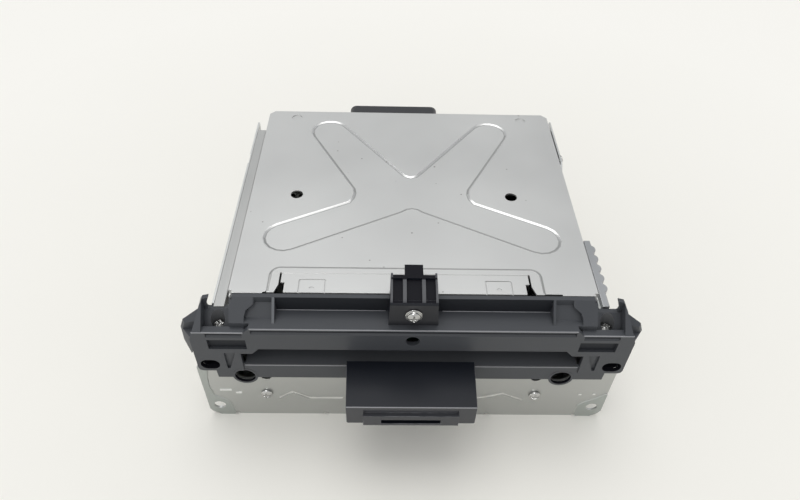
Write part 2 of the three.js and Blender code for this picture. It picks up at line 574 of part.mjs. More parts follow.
function frontPlate() {
  const { half, corner, slotHalf, slotBottom } = plate;
  const top = plateTop;
  const armHalf = ear.half - ear.wall - gap + frontShift;
  const waist = ear.bottom - gap;
  const outline = new THREE.Shape();
  outline.moveTo(corner - half, 0);
  outline.lineTo(half - corner, 0);
  outline.absarc(half - corner, corner, corner, -quarter, 0, false);
  [[half, waist], [armHalf, waist], [armHalf, top], [slotHalf, top], [slotHalf, slotBottom], [-slotHalf,
      slotBottom],
    [-slotHalf, top], [-armHalf, top], [-armHalf, waist], [-half, waist]].forEach(([x,
        z]) => outline.lineTo(x, z));
  outline.lineTo(-half, corner);
  outline.absarc(corner - half, corner, corner, Math.PI, Math.PI + quarter, false);
  let body = prism(outline, 'y', plateFront, plateBack);
  const pressOut = (shape, depth) => {
    body = body.add(prism(shape, 'y', plateFront - depth, plateFront + depth));
    body = body.subtract(prism(shape, 'y', plateBack - depth, plateBack + overrun));
  };
  pressOut([[-half, waist], [-half, corner], [corner - half, 0], [-plate.padRight[4][0], 0]].concat(
    [...plate.padLeft].reverse()), plate.padPress);
  pressOut([[plate.padRight[4][0], 0], [half - corner, 0], [half, corner], [half,
      plate.padRight[0][1]]].concat(
    plate.padRight), plate.padPress);
  pressOut(band(plate.ribLeft, plate.ribWidth), plate.ribPress);
  pressOut(band(plate.ribRight, plate.ribWidth), plate.ribPress);
  for (const [x0, x1, z] of plate.marks) {
    body = body.add(block(x0, x1, plateFront - plate.markPress, plateFront + plate.markPress,
      z - plate.markWidth / 2, z + plate.markWidth / 2));
  }
  const [front, back] = [plateFront - overrun, plateBack + overrun];
  const cutters = [];
  for (const x of [plate.screwLeft, plate.screwRight]) {
    cutters.push(rod(plate.screwHole, 'y', front, back, x, plate.screwZ, smallSides));
  }
  for (const x of [-plate.cornerHoleX, plate.cornerHoleX]) {
    cutters.push(rod(plate.cornerHoleRadius, 'y', front, back, x, plate.cornerHoleZ));
  }
  for (const x of [plate.darkHoleLeft, plate.darkHoleRight]) {
    cutters.push(rod(plate.darkHoleRadius, 'y', front, back, x, plate.darkHoleZ));
  }
  for (const x of [bar.bossLeft, bar.bossRight]) {
    cutters.push(rod(bar.bossHole, 'y', front, back, x - frontShift, bar.bossZ));
  }
  const { notchHalf, notchTip, notchDepth } = plate;
  for (const side of [-1, 1]) {
    const slotX = side * (ear.half - ear.slotIn) - frontShift;
    cutters.push(block(slotX - ear.slotHalf - gap, slotX + ear.slotHalf + gap, front, back,
      ear.slotZ - ear.slotRadius - gap, ear.slotZ + ear.slotRadius + gap));
    const tabX = side * (ear.half - ear.screwIn) - frontShift;
    body = body.add(block(tabX - plate.tabHalf, tabX + plate.tabHalf, plateFront, plateBack + plate.tabDepth,
      top - sheet, top));
    cutters.push(rod(screw.shankRadius + gap, 'z', top - sheet - overrun, top + overrun, tabX, ear.screwY,
        smallSides));
    for (const x of [side * plate.notchX, side * plate.smallNotchX]) {
      cutters.push(prism([[x - notchHalf, -overrun], [x + notchHalf, -overrun], [x + notchTip, notchDepth],
        [x - notchTip, notchDepth]], 'y', front, back));
    }
  }
  cutters.push(block(box.x - box.neckHalf - plate.boxClear, box.x + box.neckHalf + plate.boxClear, front,
      back,
    box.neckLow - plate.boxClear, slotBottom + overrun));
  return cutAll(body, cutters);
}

// Outer side of an ear at a height
function earSide(z) {
  const lean = ear.hornIn / (ear.hornZ - ear.shoulderZ);
  return ear.half - Math.max(0, (z - ear.shoulderZ) * lean);
}

function earSolid() {
  const { half, wall, wedge, corner } = ear;
  const floorLow = ear.floorTop - ear.floor;
  const flank = half - wedge;
  const tipX = half - wedge;
  const side = prism([
    [half - wall, ear.bottom], [half, ear.bottom + corner], [half, ear.shoulderZ], [half - ear.hornIn,
        ear.hornZ],
    [tipX, ear.tipZ], [flank, floorLow], [half - wall, floorLow]], 'y', 0, bar.rimRear);
  const ramp = prism([
    [-overrun, ear.top], [0, ear.top], [bar.rimFront, bar.rim], [bar.rimFront, bar.rim + overrun],
    [-overrun, bar.rim + overrun]], 'x', flank - overrun, half + overrun);
  const notchFoot = half - ear.notchFootIn;
  const back = new THREE.Shape();
  back.moveTo(bar.shoulderHalf - wall, floorLow);
  back.lineTo(flank + seat, floorLow);
  back.lineTo(flank + seat, ear.tipZ - seat);
  back.lineTo(half - ear.peakIn, ear.peakZ);
  back.lineTo(half - ear.notchTopIn, ear.notchTopZ);
  back.lineTo(half - ear.notchSideIn, ear.notchSideZ);
  back.quadraticCurveTo(half - ear.notchSideIn + seat, ear.notchBottom, notchFoot, ear.notchBottom);
  back.lineTo(bar.shoulderHalf + ear.notchBlend, ear.notchBottom);
  back.quadraticCurveTo(bar.shoulderHalf, ear.notchBottom, bar.shoulderHalf,
      ear.notchBottom + ear.notchBlend);
  back.lineTo(bar.shoulderHalf, bar.rim - bar.rimCorner);
  back.lineTo(bar.shoulderHalf - bar.rimCorner, bar.rim);
  back.lineTo(bar.shoulderHalf - bar.rimCorner - wall, bar.rim);
  back.lineTo(bar.shoulderHalf - bar.rimCorner - wall, bar.top - bar.floor);
  back.lineTo(bar.shoulderHalf - wall, bar.top - bar.floor);
  const slope = prism([
    [moulding - seat, floorLow], [bar.rimRear, floorLow], [bar.rimRear, ear.notchBottom], [bar.rimFront,
        ear.notchBottom],
    [ear.thick, ear.floorTop], [moulding - seat, ear.floorTop]], 'x', bar.shoulderHalf - wall, flank + seat);
  const well = rod(ear.screwWell, 'z', ear.screwSeat, bar.rim + overrun, half - ear.screwIn, ear.screwY);
  return join([
    side.subtract(ramp),
    prism(back, 'y', bar.rimFront, bar.rimRear),
    block(half - ear.innerIn, flank + seat, 0, ear.thick, ear.windowHigh, ear.top),
    slope.subtract(well),
    block(bar.shoulderHalf - wall, bar.shoulderHalf, bar.ribFoot, bar.rimRear, floorLow, bar.top),
  ]);
}

// The fin on the outer side of the right ear, hollowed at its front
function winglet(tail) {
  const foot = (z) => earSide(z) - wing.sink;
  const points = [
    [foot(wing.rootTop), bar.rimRear - seat, wing.rootTop], [foot(wing.frontHigh), wing.frontY,
        wing.frontHigh],
    [foot(wing.rootBottom), bar.rimRear - seat, wing.rootBottom],
    ...wing.crest.concat(tail).map(([out, y, z]) => [ear.half + out, y, z])];
  const fin = solid(new ConvexGeometry(points.map(([x, y, z]) => new THREE.Vector3(x, y, z))));
  const hollow = wing.hollow.map(([out, z]) => [ear.half + out, z]);
  return fin.subtract(prism(hollow, 'y', -overrun, wing.hollowDepth));
}

// The sloping block between the gutter's rib and the ear, hollowed by a scoop
function shoulderSolid() {
  const { top, rim, ribFoot, rimFront, rimRear } = bar;
  const slope = (rim - top) / (rimFront - ribFoot);
  const start = bar.pocketHalf - bar.ribWidth / 2;
  const low = ear.top - seat;
  const wedge = prism([[ribFoot, low], [rimRear, low], [rimRear, rim], [rimFront, rim], [ribFoot, top]],
    'x', start, bar.shoulderHalf - bar.rimCorner);
  const outer = prism([
    [ribFoot, low], [rimRear, low], [rimRear, rim - bar.rimCorner],
    [rimFront - bar.rimCorner / slope, rim - bar.rimCorner], [ribFoot, top]],
  'x', bar.shoulderHalf - bar.rimCorner - seat, bar.shoulderHalf);
  const scoopFoot = ribFoot + bar.scoopDepth;
  const scoop = prism([
    [ribFoot - overrun, top], [scoopFoot, top], [rimFront, top + (rimFront - scoopFoot) * slope],
    [rimFront, rim + overrun], [ribFoot - overrun, rim + overrun]],
  'x', start + bar.ribWidth, bar.scoopFar);
  const window = prism([
    [start + bar.ribWidth, top - overrun], [bar.scoopFar, top - overrun], [bar.scoopFar, top + bar.scoopLow],
    [bar.scoopFar - bar.scoopBend, top + bar.scoopLow + bar.scoopBend + bar.scoopBend / 2],
    [bar.scoopFar - bar.scoopCorner, top + bar.scoopHigh], [bar.scoopFar - bar.scoopCorner, rim + overrun],
    [start + bar.ribWidth, rim + overrun]], 'y', ribFoot - overrun, rimFront);
  return join([wedge, outer]).subtract(scoop.intersect(window));
}

function mirrorOf(right) {
  const mirror = new THREE.BufferGeometry();
  const made = right.getMesh();
  const places = Float32Array.from(made.vertProperties, (value, i) => (i % 3 === 0 ? -value : value));
  const corners = Uint32Array.from(made.triVerts).reverse();
  mirror.setAttribute('position', new THREE.BufferAttribute(places, 3));
  mirror.setIndex(new THREE.BufferAttribute(corners, 1));
  return solid(mirror);
}

// A groove with a slanting lower side, cut under a front edge
function edgeGroove(top, from, to) {
  const low = top - bar.grooveHeight;
  return prism([
    [-overrun, top], [-overrun, low - bar.grooveDepth], [0, low - bar.grooveDepth], [bar.grooveDepth, low],
    [bar.grooveDepth, top]], 'x', from, to);
}

function frontBracket() {
  const floorLow = bar.top - bar.floor;
  const { half, corner, cornerBend } = ear;
  const inner = half - ear.innerIn;
  const halfFace = [
    [bar.half, bar.top], [inner, ear.top], [earSide(ear.top), ear.top], [half, ear.shoulderZ],
    [half, ear.bottom + corner], [half - cornerBend, ear.bottom + cornerBend], [half - corner, ear.bottom],
    [bar.endHalf, ear.bottom], [bar.endHalf, bar.slotStep], [bar.stepHalf, bar.slotStep], [bar.slotHalf,
        bar.slotTop]];
  const face = halfFace.concat(mirrored(halfFace));
  const lipShelf = ear.bottom + sheet;
  const lipHalf = [
    [bar.endHalf, bar.slotFloor], [bar.endHalf, lipShelf], [bar.lipHalf, lipShelf],
    [bar.lipHalf - bar.lipTaper, bar.lipBottom]];
  const [ears, shoulders] = [earSolid(), shoulderSolid()];
  const parts = [
    prism(face, 'y', 0, moulding),
    prism(lipHalf.concat(mirrored(lipHalf)), 'y', bar.lipBack, moulding),
    block(-bar.floorHalf, bar.floorHalf, bar.lipBack, bar.ledge, bar.slotFloor - bar.floor, bar.slotFloor),
    block(-bar.half, bar.half, 0, bar.rimRear, floorLow, bar.top),
    block(bar.rimCorner - bar.shoulderHalf, bar.shoulderHalf - bar.rimCorner, bar.rimFront, bar.rimRear,
        floorLow, bar.rim),
    ears, mirrorOf(ears), shoulders, mirrorOf(shoulders),
    winglet(wing.rightTail), mirrorOf(winglet(wing.leftTail)),
  ];
  for (const x of [bar.bossLeft, bar.bossRight]) {
    parts.push(rod(bar.bossRadius, 'y', bar.lipBack - seat, moulding, x, bar.bossZ));
  }
  const cutters = [
    rod(bar.holeRadius, 'y', -overrun, moulding + overrun, tower.x, bar.holeZ),
    edgeGroove(bar.top - bar.grooveDrop, ear.grooveInset - bar.half, bar.half - ear.grooveInset),
  ];
  for (const x of [bar.bossLeft, bar.bossRight]) {
    cutters.push(rod(bar.bossHole, 'y', -overrun, moulding + overrun, x, bar.bossZ));
  }
  const slotX = half - ear.slotIn;
  const rightCutters = [
    block(half - ear.windowInner, half - ear.windowOuter, -overrun, ear.windowDepth, ear.windowLow,
        ear.windowHigh),
    edgeGroove(ear.top - ear.grooveDrop, inner + ear.grooveInset, half - ear.windowOuter),
    prism(roundRect(slotX - ear.slotHalf, slotX + ear.slotHalf, ear.slotZ - ear.slotRadius,
        ear.slotZ + ear.slotRadius,
      ear.slotRadius - seat), 'y', -overrun, moulding + overrun),
    prism([
      [half - ear.markTopInner, ear.markTop], [half - ear.markBottomInner, ear.markBottom],
      [half - ear.markBottomOuter, ear.markBottom], [half - ear.markTopOuter, ear.markTop]],
    'y', -overrun, ear.markDepth),
    rod(screw.shankRadius + gap, 'z', ear.floorTop - ear.floor - overrun, ear.screwSeat + overrun,
      half - ear.screwIn, ear.screwY, smallSides),
  ];
  cutters.push(...rightCutters, ...rightCutters.map(mirrorOf));
  cutters.push(rod(screw.shankRadius + gap, 'y', bar.rimFront - overrun, bar.rimRear + overrun, tower.x,
      tower.screwZ,
    smallSides));
  const boxX = box.x + frontShift;
  cutters.push(block(boxX - box.neckHalf - gap, boxX + box.neckHalf + gap, -overrun, moulding + overrun,
    box.neckLow - gap, box.neckHigh + gap));
  return cutAll(join(parts), cutters);
}

// The side view of the clip tower, drawn inwards by the depth of its panels where asked
function towerSide(inset) {
  const { front, springZ, top, rear, under } = tower;
  const shape = new THREE.Shape();
  shape.moveTo(front + inset, bar.top + seat);
  shape.lineTo(front + inset, springZ);
  shape.absellipse(rear, springZ, rear - front - inset, top - springZ - inset, Math.PI, quarter, true);
  shape.lineTo(rear, top - under);
  shape.lineTo(bar.rimRear + sheet, cover.top + cover.press + gap);
  shape.lineTo(bar.rimFront - seat, cover.top + cover.press + gap);
  shape.lineTo(bar.rimFront - seat, bar.top + seat);
  return shape;
}

function clipTower() {
  const { x, half, topHalf, ribWidth, innerRib, innerWidth, tongueHalf, tongueRear } = tower;
  const taper = prism([
    [x - half, bar.top], [x + half, bar.top], [x + topHalf, tower.top + seat], [x - topHalf,
        tower.top + seat]],
  'y', -overrun, tongueRear + overrun);
  const panel = prism(towerSide(tower.panel), 'x', x - half - seat, x + half + seat, tower.archSteps);
  const edges = [ribWidth - half, -innerRib - innerWidth / 2, innerWidth / 2 - innerRib,
      innerRib - innerWidth / 2,
    innerRib + innerWidth / 2, half - ribWidth];
  const parts = [prism(towerSide(0), 'x', x - half, x + half, tower.archSteps)];
  for (const side of [-1, 1]) {
    const rib = x + side * (half - ribWidth / 2);
    parts.push(block(rib - ribWidth / 2, rib + ribWidth / 2, tower.rear - overrun, tower.ribRear,
      tower.top - tower.under, tower.top));
  }
  const pockets = [0, 1, 2].map((i) => block(x + edges[i + i], x + edges[i + i + 1], -overrun,
      tower.panelRear,
    tower.panelLow, tower.top + overrun).subtract(panel));
  const tongue = block(x - tongueHalf, x + tongueHalf, tower.rear - overrun, tongueRear,
    tower.top - tower.tongueThick, tower.top - seat);
  return cutAll(join(parts).intersect(taper).add(tongue), [...pockets,
    rod(screw.shankRadius + gap, 'y', tower.front - overrun, bar.rimFront + overrun, x, tower.screwZ,
        smallSides)]);
}

function connectorHousing() {
  const rear = bar.lipBack - gap;
  const { x, half, frontHalf, front, top, bottom, wall, bottomCorner } = box;
  const plan = prism([[x - half, rear], [x - frontHalf, front], [x + frontHalf, front], [x + half, rear]],
    'z', bottom, top);
  const shell = plan.intersect(prism([
    [x - half, bottom + bottomCorner], [x - half + bottomCorner, bottom], [x + half - bottomCorner, bottom],
    [x + half, bottom + bottomCorner], [x + half, top], [x - half, top]], 'y', front - overrun,
        rear + overrun));
  const nose = block(x - box.noseHalf, x + box.noseHalf, box.noseFront, box.noseFront + box.noseDepth,
    box.noseBottom, box.recessLow);
  const neck = block(x - box.neckHalf, x + box.neckHalf, rear - overrun, box.neckRear, box.neckLow,
      box.neckHigh);
  return cutAll(join([shell, nose, neck]), [
    block(x - box.recessHalf, x + box.recessHalf, front - overrun, front + box.recessDepth, box.recessLow,
        box.recessHigh),
    block(x - box.slotHalf, x + box.slotHalf, box.noseFront - overrun, box.noseFront + box.slotDepth,
      box.slotLow, box.slotHigh),
    block(x + wall - box.neckHalf, x + box.neckHalf - wall, box.noseFront + box.noseDepth,
        box.neckRear + overrun,
      box.neckLow + wall / 2, box.neckHigh - wall / 2),
  ]);
}

function connectorContacts() {
  const pitch = (box.slotHalf + box.slotHalf) / box.pinCount;
  const z = (box.slotLow + box.slotHigh) / 2;
  const back = box.noseFront + box.slotDepth - seat;
  const pins = [];
  for (let i = 0; i < box.pinCount; i += 1) {
    const x = box.x + pitch * (i + 1 / 2) - box.slotHalf;
    pins.push(block(x - box.pinHalf, x + box.pinHalf, back - box.pinLength, back, z - box.pinHalf,
        z + box.pinHalf));
  }
  const ends = box.slotHalf - box.pinHalf;
  pins.push(block(box.x - ends, box.x + ends, back - box.pinHalf, back, z - box.pinHalf, z + box.pinHalf));
  return join(pins);
}

function slotFelt() {
  const start = bar.ledge + seat;
  const end = start + felt.thick;
  const strip = block(-felt.half, felt.half, start, end, bar.slotFloor - bar.floor, felt.high);
  return strip.subtract(block(deckX - felt.slotHalf, deckX + felt.slotHalf, start - overrun, end + overrun,
    discZ - felt.slotHeight / 2, discZ + felt.slotHeight / 2));
}

function heatSink() {
  const inner = tub.right + seat;
  const outer = inner + sink.base;
  const centre = outer + sink.ribHeight - sink.ribRadius;
  const angle = Math.acos((outer - centre) / sink.ribRadius);
  const shape = new THREE.Shape();
  shape.moveTo(inner, sink.start);
  shape.lineTo(outer, sink.start);
  for (let i = 0; i < sink.ribCount; i += 1) {
    shape.absarc(centre, sink.ribFirst + i * sink.ribPitch, sink.ribRadius, -angle, angle, false);
  }
  shape.lineTo(outer, sink.end);
  shape.lineTo(inner, sink.end);
  const holes = [sink.low + sink.screwInset, sink.high - sink.screwInset].map((z) => rod(
    screw.shankRadius + gap, 'x', inner - overrun, outer + overrun, sink.start + sink.screwFront, z,
        smallSides));
  return cutAll(prism(shape, 'z', sink.low, sink.high, sink.ribSteps), holes);
}

// Rear wall

function mainSocket() {
  const { x, half, top, bottom, rear, wall, corner } = socket;
  const wallInner = tubRear - sheet - gap;
  const shell = prism(roundRect(x - half, x + half, bottom, top, corner), 'y', socket.boardFace, rear);
  const flange = prism(roundRect(x - half - socket.flange, x + half + socket.flange, bottom - socket.flange,
    top + socket.flange, corner), 'y', wallInner - socket.flangeThick, wallInner);
  const deep = socket.boardFace + socket.back;
  const { divider, dividerWall } = socket;
  const chamber = (low, high) => prism(roundRect(x - half + wall, x + half - wall, low, high, wall), 'y',
      deep, rear + overrun);
  return cutAll(join([shell, flange]), [
    chamber(bottom + wall, divider - dividerWall / 2),
    chamber(divider + dividerWall / 2, top - wall),
  ]);
}

// A row or field of pins on the strip that carries them
function pinField(columns, pitch, rows, rowPitch, firstZ, halfX, halfZ) {
  const start = socket.boardFace + socket.back + seat;
  const reach = pitch * (columns - 1) / 2 + halfX + socket.carrierReach;
  const lastZ = firstZ + rowPitch * (rows - 1);
  const parts = [block(socket.x - reach, socket.x + reach, start, start + socket.carrier,
    firstZ - halfZ - socket.carrierReach, lastZ + halfZ + socket.carrierReach)];
  for (let row = 0; row < rows; row += 1) {
    for (let column = 0; column < columns; column += 1) {
      const x = socket.x + (column - (columns - 1) / 2) * pitch;
      const z = firstZ + row * rowPitch;
      parts.push(block(x - halfX, x + halfX, start, start + socket.pinLength, z - halfZ, z + halfZ));
    }
  }
  return join(parts);
}

const signalPins = () => pinField(socket.pinColumns, socket.pinPitch, socket.pinRows, socket.pinRowPitch,
    socket.pinLow,
  socket.pinHalf, socket.pinHalf);

const powerBlades = () => pinField(socket.bladeColumns, socket.bladePitch, 1, 0, socket.bladeZ,
    socket.bladeHalf,
  socket.bladeThick);

function socketBoard() {
  const rear = socket.boardFace - seat;
  const { half, thick, high } = rearBoard;
  return block(socket.x - half, socket.x + half, rear - thick, rear, boardTop + seat, high);
}

// Two aerial sockets on one foot
function aerialSocket() {
  const wallInner = tubRear - sheet - gap;
  const end = tubRear + aerial.length;
  const { half, z, flange } = aerial;
  const wide = half + flange;
  const foot = block(aerial.x - wide, aerial.x + aerial.pitch + wide, wallInner - aerial.foot, wallInner,
      z - wide, z + wide);
  const sockets = [aerial.x, aerial.x + aerial.pitch].map((x) => {
    const body = prism(roundRect(x - half, x + half, z - half, z + half, flange), 'y', wallInner, end);
    const bore = rod(aerial.bore, 'y', end - aerial.boreDepth, end + overrun, x, z, smallSides);
    const pin = rod(aerial.pin, 'y', end - aerial.boreDepth - seat, end - flange, x, z, smallSides);
    return body.subtract(bore).add(pin);
  });
  return join([foot, ...sockets]);
}

// Boards inside the case

function mainBoard() {
  const body = block(board.left, board.right, board.front, board.rear, board.low, boardTop);
  return cutAll(body, boardCorners().map(([x, y]) => rod(
    board.holeRadius, 'z', board.low - overrun, boardTop + overrun, x, y, smallSides)));
}

function powerAmp() {
  const right = amp.outer;
  const low = boardTop + amp.legRise;
  const body = block(right - amp.thick, right, amp.y, amp.y + amp.width, low, low + amp.height);
  const x = right - amp.thick - amp.legHalf;
  const legs = [];
  for (let i = 0; i < amp.legs; i += 1) {
    const y = amp.y + amp.width / 2 + (i - (amp.legs - 1) / 2) * amp.legPitch;
    legs.push(block(x - amp.legHalf, x + amp.legHalf + amp.legHalf + seat, y - amp.legHalf, y + amp.legHalf,
      boardTop + seat, low + amp.legRise));
  }
  return join([body, ...legs]);
}

function filterCapacitor(place) {
  const low = boardTop + seat;
  const { radius, height, rimCut } = capacitor;
  const profile = [
    [0, low], [radius, low], [radius, low + height - rimCut], [radius - rimCut, low + height], [0,
        low + height]];
  return turned(profile, 'z', capacitor.x, capacitor.y + place * capacitor.pitch, smallSides);
}

function tunerCanSolid() {
  const low = boardTop + seat;
  const { x, y, width, depth, height, rim } = tunerCan;
  const can = block(x, x + width, y, y + depth, low, low + height);
  return can.subtract(block(x + rim, x + width - rim, y + rim, y + depth - rim, low + height - sheet / 2,
      low + height + overrun));
}

function controlChip(place) {
  const low = boardTop + seat;
  const { size, chamfer, x } = chip;
  const y = chip.y + place * chip.pitch;
  const outline = [[x + chamfer, y], [x + size, y], [x + size, y + size], [x, y + size], [x, y + chamfer]];
  return prism(outline, 'z', low, low + chip.height);
}

// Disc deck, drawn about the deck's own middle

function deckRail(side) {
  const wallX = side < 0 ? deckX + tub.left - sheet - seat : tub.right - sheet - seat - deckX;
  const sorted = (a, b) => [side * a, side * b].sort((p, q) => p - q);
  const [x0, x1] = sorted(wallX - sheet, wallX);
  const [s0, s1] = sorted(rail.reach, wallX);
  const parts = [block(x0, x1, rail.front, rail.rear, rail.low, rail.shelf + sheet)];
  for (const y of [damper.front, damper.rear]) {
    parts.push(block(s0, s1, y - rail.lugLength / 2, y + rail.lugLength / 2, rail.shelf,
        rail.shelf + sheet));
  }
  return join(parts);
}

function damperSolid() {
  const low = rail.shelf + sheet + seat;
  const top = deck.level - seat;
  const mid = (low + top) / 2;
  const lobe = (top - low) / 4;
  const capLow = deckTop + seat;
  return turned([
    [0, low], [damper.foot, low], [damper.foot, low + lobe], [damper.waist, mid], [damper.foot, top - lobe],
    [damper.foot, top], [damper.neck, top], [damper.neck, capLow], [damper.cap, capLow],
    [damper.cap, capLow + damper.capHeight / 2], [damper.neck, capLow + damper.capHeight], [0,
        capLow + damper.capHeight]],
  'z', 0, 0, smallSides);
}

function deckFrame() {
  const { half, front, rear, level, flange } = deck;
  const parts = [
    block(-half, half, front, rear, level, deckTop),
    block(half - sheet, half, deck.rollerRear + gap, rear, level - flange, deckTop),
    block(-half, sheet - half, front, rear, level - flange, deckTop),
    block(-half, half, rear - sheet, rear, deck.rodLugLow, deckTop),
    block(-half, sheet - half, deck.lugFront, deck.lugRear, deck.lugLow, deckTop),
    block(-deck.rodLugHalf, deck.rodLugHalf, deck.rodLugFront, deck.rodLugFront + sheet, deck.rodLugLow,
        deckTop),
    rod(middleGear.stud, 'x', -gearEnd - gap, sheet / 2 - half, middleY, middleZ, smallSides),
    rod(middleGear.stud + sheet, 'x', -gearEnd - gap - sheet, -gearEnd - gap, middleY, middleZ, smallSides),
  ];
  for (const side of [-1, 1]) {
    const span = (a, b) => [side * a, side * b].sort((p, q) => p - q);
    for (const y of [damper.front, damper.rear]) {
      parts.push(block(...span(half - sheet, deck.tabReach), y - deck.tabHalf, y + deck.tabHalf, level,
          deckTop));
    }
    parts.push(block(...span(deck.cheek - sheet, deck.cheek), roller.y - deck.cheekHalf,
        roller.y + deck.cheekHalf,
      level, deck.cheekTop));
    parts.push(block(...span(deck.hingeX - sheet / 2, deck.hingeX + sheet / 2), hingeY - deck.hingeHalf,
      hingeY + deck.hingeHalf, level, deck.hingeTop));
  }
  const cutters = [
    rod(deck.shaftHole, 'z', level - overrun, deckTop + overrun, 0, discY),
    block(-deck.windowHalf, deck.windowHalf, deck.windowStart, deck.windowEnd, level - overrun,
        deckTop + overrun),
    block(-deck.rollerHalf, deck.rollerHalf, deck.rollerFront, deck.rollerRear, level - overrun,
        deckTop + overrun),
    rod(roller.shaft + gap, 'x', -half - overrun, half + overrun, roller.y, roller.z, smallSides),
    rod(clampArm.pin + seat, 'x', -deck.hingeX - overrun, deck.hingeX + overrun, hingeY, hingeZ, smallSides),
    rod(loadMotor.nose + gap, 'x', -half - overrun, sheet + overrun - half, pinionY, middleZ, smallSides),
    rod(leadScrew.radius + gap, 'y', rear - sheet - overrun, rear + overrun, leadScrew.x, rodZ, smallSides),
    rod(leadScrew.radius + gap, 'y', deck.rodLugFront - overrun, deck.rodLugFront + sheet + overrun,
        leadScrew.x, rodZ,
      smallSides),
  ];
  for (const x of [-sled.rodX, sled.rodX]) {
    cutters.push(rod(sled.rodRadius + seat, 'y', deck.rodLugFront - overrun, rear + overrun, x, rodZ,
        smallSides));
  }
  for (const x of [-damper.offset, damper.offset]) {
    for (const y of [damper.front, damper.rear]) {
      cutters.push(rod(deck.holeRadius, 'z', level - overrun, deckTop + overrun, x, y, smallSides));
    }
  }
  return cutAll(join(parts), cutters);
}

// A spur gear drawn in (y, z) round the X axis. The first tooth points at the given angle.
function gear(count, angle, y, z, from, to, bore) {
  const pitchRadius = gears.module * count / 2;
  const rings = [
    [pitchRadius - gears.module * gears.rootShare, teeth.rootWidthShare],
    [pitchRadius, teeth.pitchShare],
    [pitchRadius + gears.module * gears.tipShare, teeth.tipWidthShare]];
  const points = [];
  for (let i = 0; i < count; i += 1) {
    const middle = angle + fullTurn * i / count;
    const walk = rings.map(([r, share]) => [r, -share]).concat(rings.map(([r, share]) => [r,
        share]).reverse());
    for (const [r, share] of walk) {
      const turn = middle + share * Math.PI / count;
      points.push([y + r * Math.cos(turn), z + r * Math.sin(turn)]);
    }
  }
  const body = prism(points, 'x', from, to);
  return bore ? body.subtract(rod(bore, 'x', from - overrun, to + overrun, y, z, smallSides)) : body;
}

const rollerShaft = () => rod(roller.shaft, 'x', -gearEnd - seat, deck.half - gap, roller.y, roller.z,
    smallSides);

const loadRoller = () => turned([
  [roller.bore, -roller.half], [roller.endRadius, -roller.half], [roller.midRadius, 0], [roller.endRadius,
      roller.half],
  [roller.bore, roller.half], [roller.bore, -roller.half]], 'x', roller.y, roller.z, smallSides);

const rollerGear = () => gear(gears.rollerTeeth, firstMesh, roller.y, roller.z, -gearEnd, -gearStart,
    roller.shaft + seat);

const middleGearSolid = () => gear(gears.middleTeeth, middlePhase, middleY, middleZ, -gearEnd, -gearStart,
  middleGear.stud + gap);

function motorPinion() {
  const wheel = gear(gears.pinionTeeth, pinionPhase, pinionY, middleZ, -gearEnd, -gearStart, 0);
  const shaft = rod(loadMotor.shaft, 'x', -gearStart - seat,
      sheet + seat + loadMotor.shaftDepth - deck.half, pinionY, middleZ,
    smallSides);
  return join([wheel, shaft]);
}

function loadMotorSolid() {
  const face = sheet + seat - deck.half;
  const { radius, length, nose, shaft } = loadMotor;
  const bore = shaft + gap;
  const deep = face + loadMotor.shaftDepth + gap;
  return turned([
    [bore, -deck.half], [bore, deep], [0, deep], [0, face + length], [radius, face + length], [radius, face],
    [nose, face], [nose, -deck.half], [bore, -deck.half]].reverse(), 'x', pinionY, middleZ, loadMotor.sides);
}

function spindleMotor() {
  const { canRadius, canLow, shaftBore } = spindle;
  const top = deck.level - seat;
  const deep = canLow + spindle.floor;
  return turned([
    [0, canLow], [canRadius, canLow], [canRadius, top], [shaftBore, top], [shaftBore, deep], [0, deep]],
        'z', 0, discY, spindle.sides);
}

function turntable() {
  const { shaft, plateRadius, plateThick, boss, hub, hubRise, hubTip } = spindle;
  const low = spindle.canLow + spindle.floor + gap;
  return turned([
    [0, low], [shaft, low], [shaft, spindle.bossLow], [boss, spindle.bossLow], [boss, discLow - plateThick],
    [plateRadius, discLow - plateThick], [plateRadius, discLow], [hub, discLow], [hub,
        discLow + hubRise / 2],
    [hubTip, discLow + hubRise], [0, discLow + hubRise]], 'z', 0, discY);
}

function pickupSled() {
  const { half, length, waist, lensHalf } = sled;
  const [y, low, high] = [sledY, sledLow, sledHigh];
  const outline = [
    [-half, y - length], [half, y - length], [half, y + length], [lensHalf + waist, y + length],
    [lensHalf, y + length - waist], [-lensHalf, y + length - waist], [-lensHalf - waist, y + length],
        [-half, y + length]];
  const nutEnd = leadScrew.x - leadScrew.radius - gap;
  const body = join([
    prism(outline, 'z', low, high),
    block(-lensHalf, lensHalf, y - lensHalf, y + lensHalf, high - overrun, lensTop),
    block(half - overrun, nutEnd, y - sled.nutHalf, y + sled.nutHalf, rodZ - sled.nutHalf / 2,
        rodZ + sled.nutHalf / 2),
  ]);
  return cutAll(body, [-sled.rodX, sled.rodX].map((x) => rod(
    sled.rodRadius + gap, 'y', y - length - overrun, y + length + overrun, x, rodZ, smallSides)));
}

const objectiveLens = () => turned([
  [0, lensTop + seat], [sled.lensRadius, lensTop + seat], [sled.lensRadius, lensTop + sled.lensRise / 2],
  [sled.lensRadius / 2, lensTop + sled.lensRise], [0, lensTop + sled.lensRise]], 'z', 0, sledY, smallSides);

const guideRod = (x) => rod(sled.rodRadius, 'y', deck.rodLugFront, deck.rear, x, rodZ, smallSides);

const leadScrewSolid = () => rod(leadScrew.radius, 'y', screwStart - leadScrew.tail, deck.rear,
    leadScrew.x, rodZ,
  smallSides);

function sledMotor() {
  const face = deck.rodLugFront - seat;
  const { motorRadius, motorLength, radius, tail } = leadScrew;
  const bore = radius + gap;
  const deep = screwStart - tail - gap;
  return turned([
    [0, face - motorLength], [motorRadius, face - motorLength], [motorRadius, face], [bore, face], [bore,
        deep], [0, deep]],
  'y', leadScrew.x, rodZ, smallSides);
}

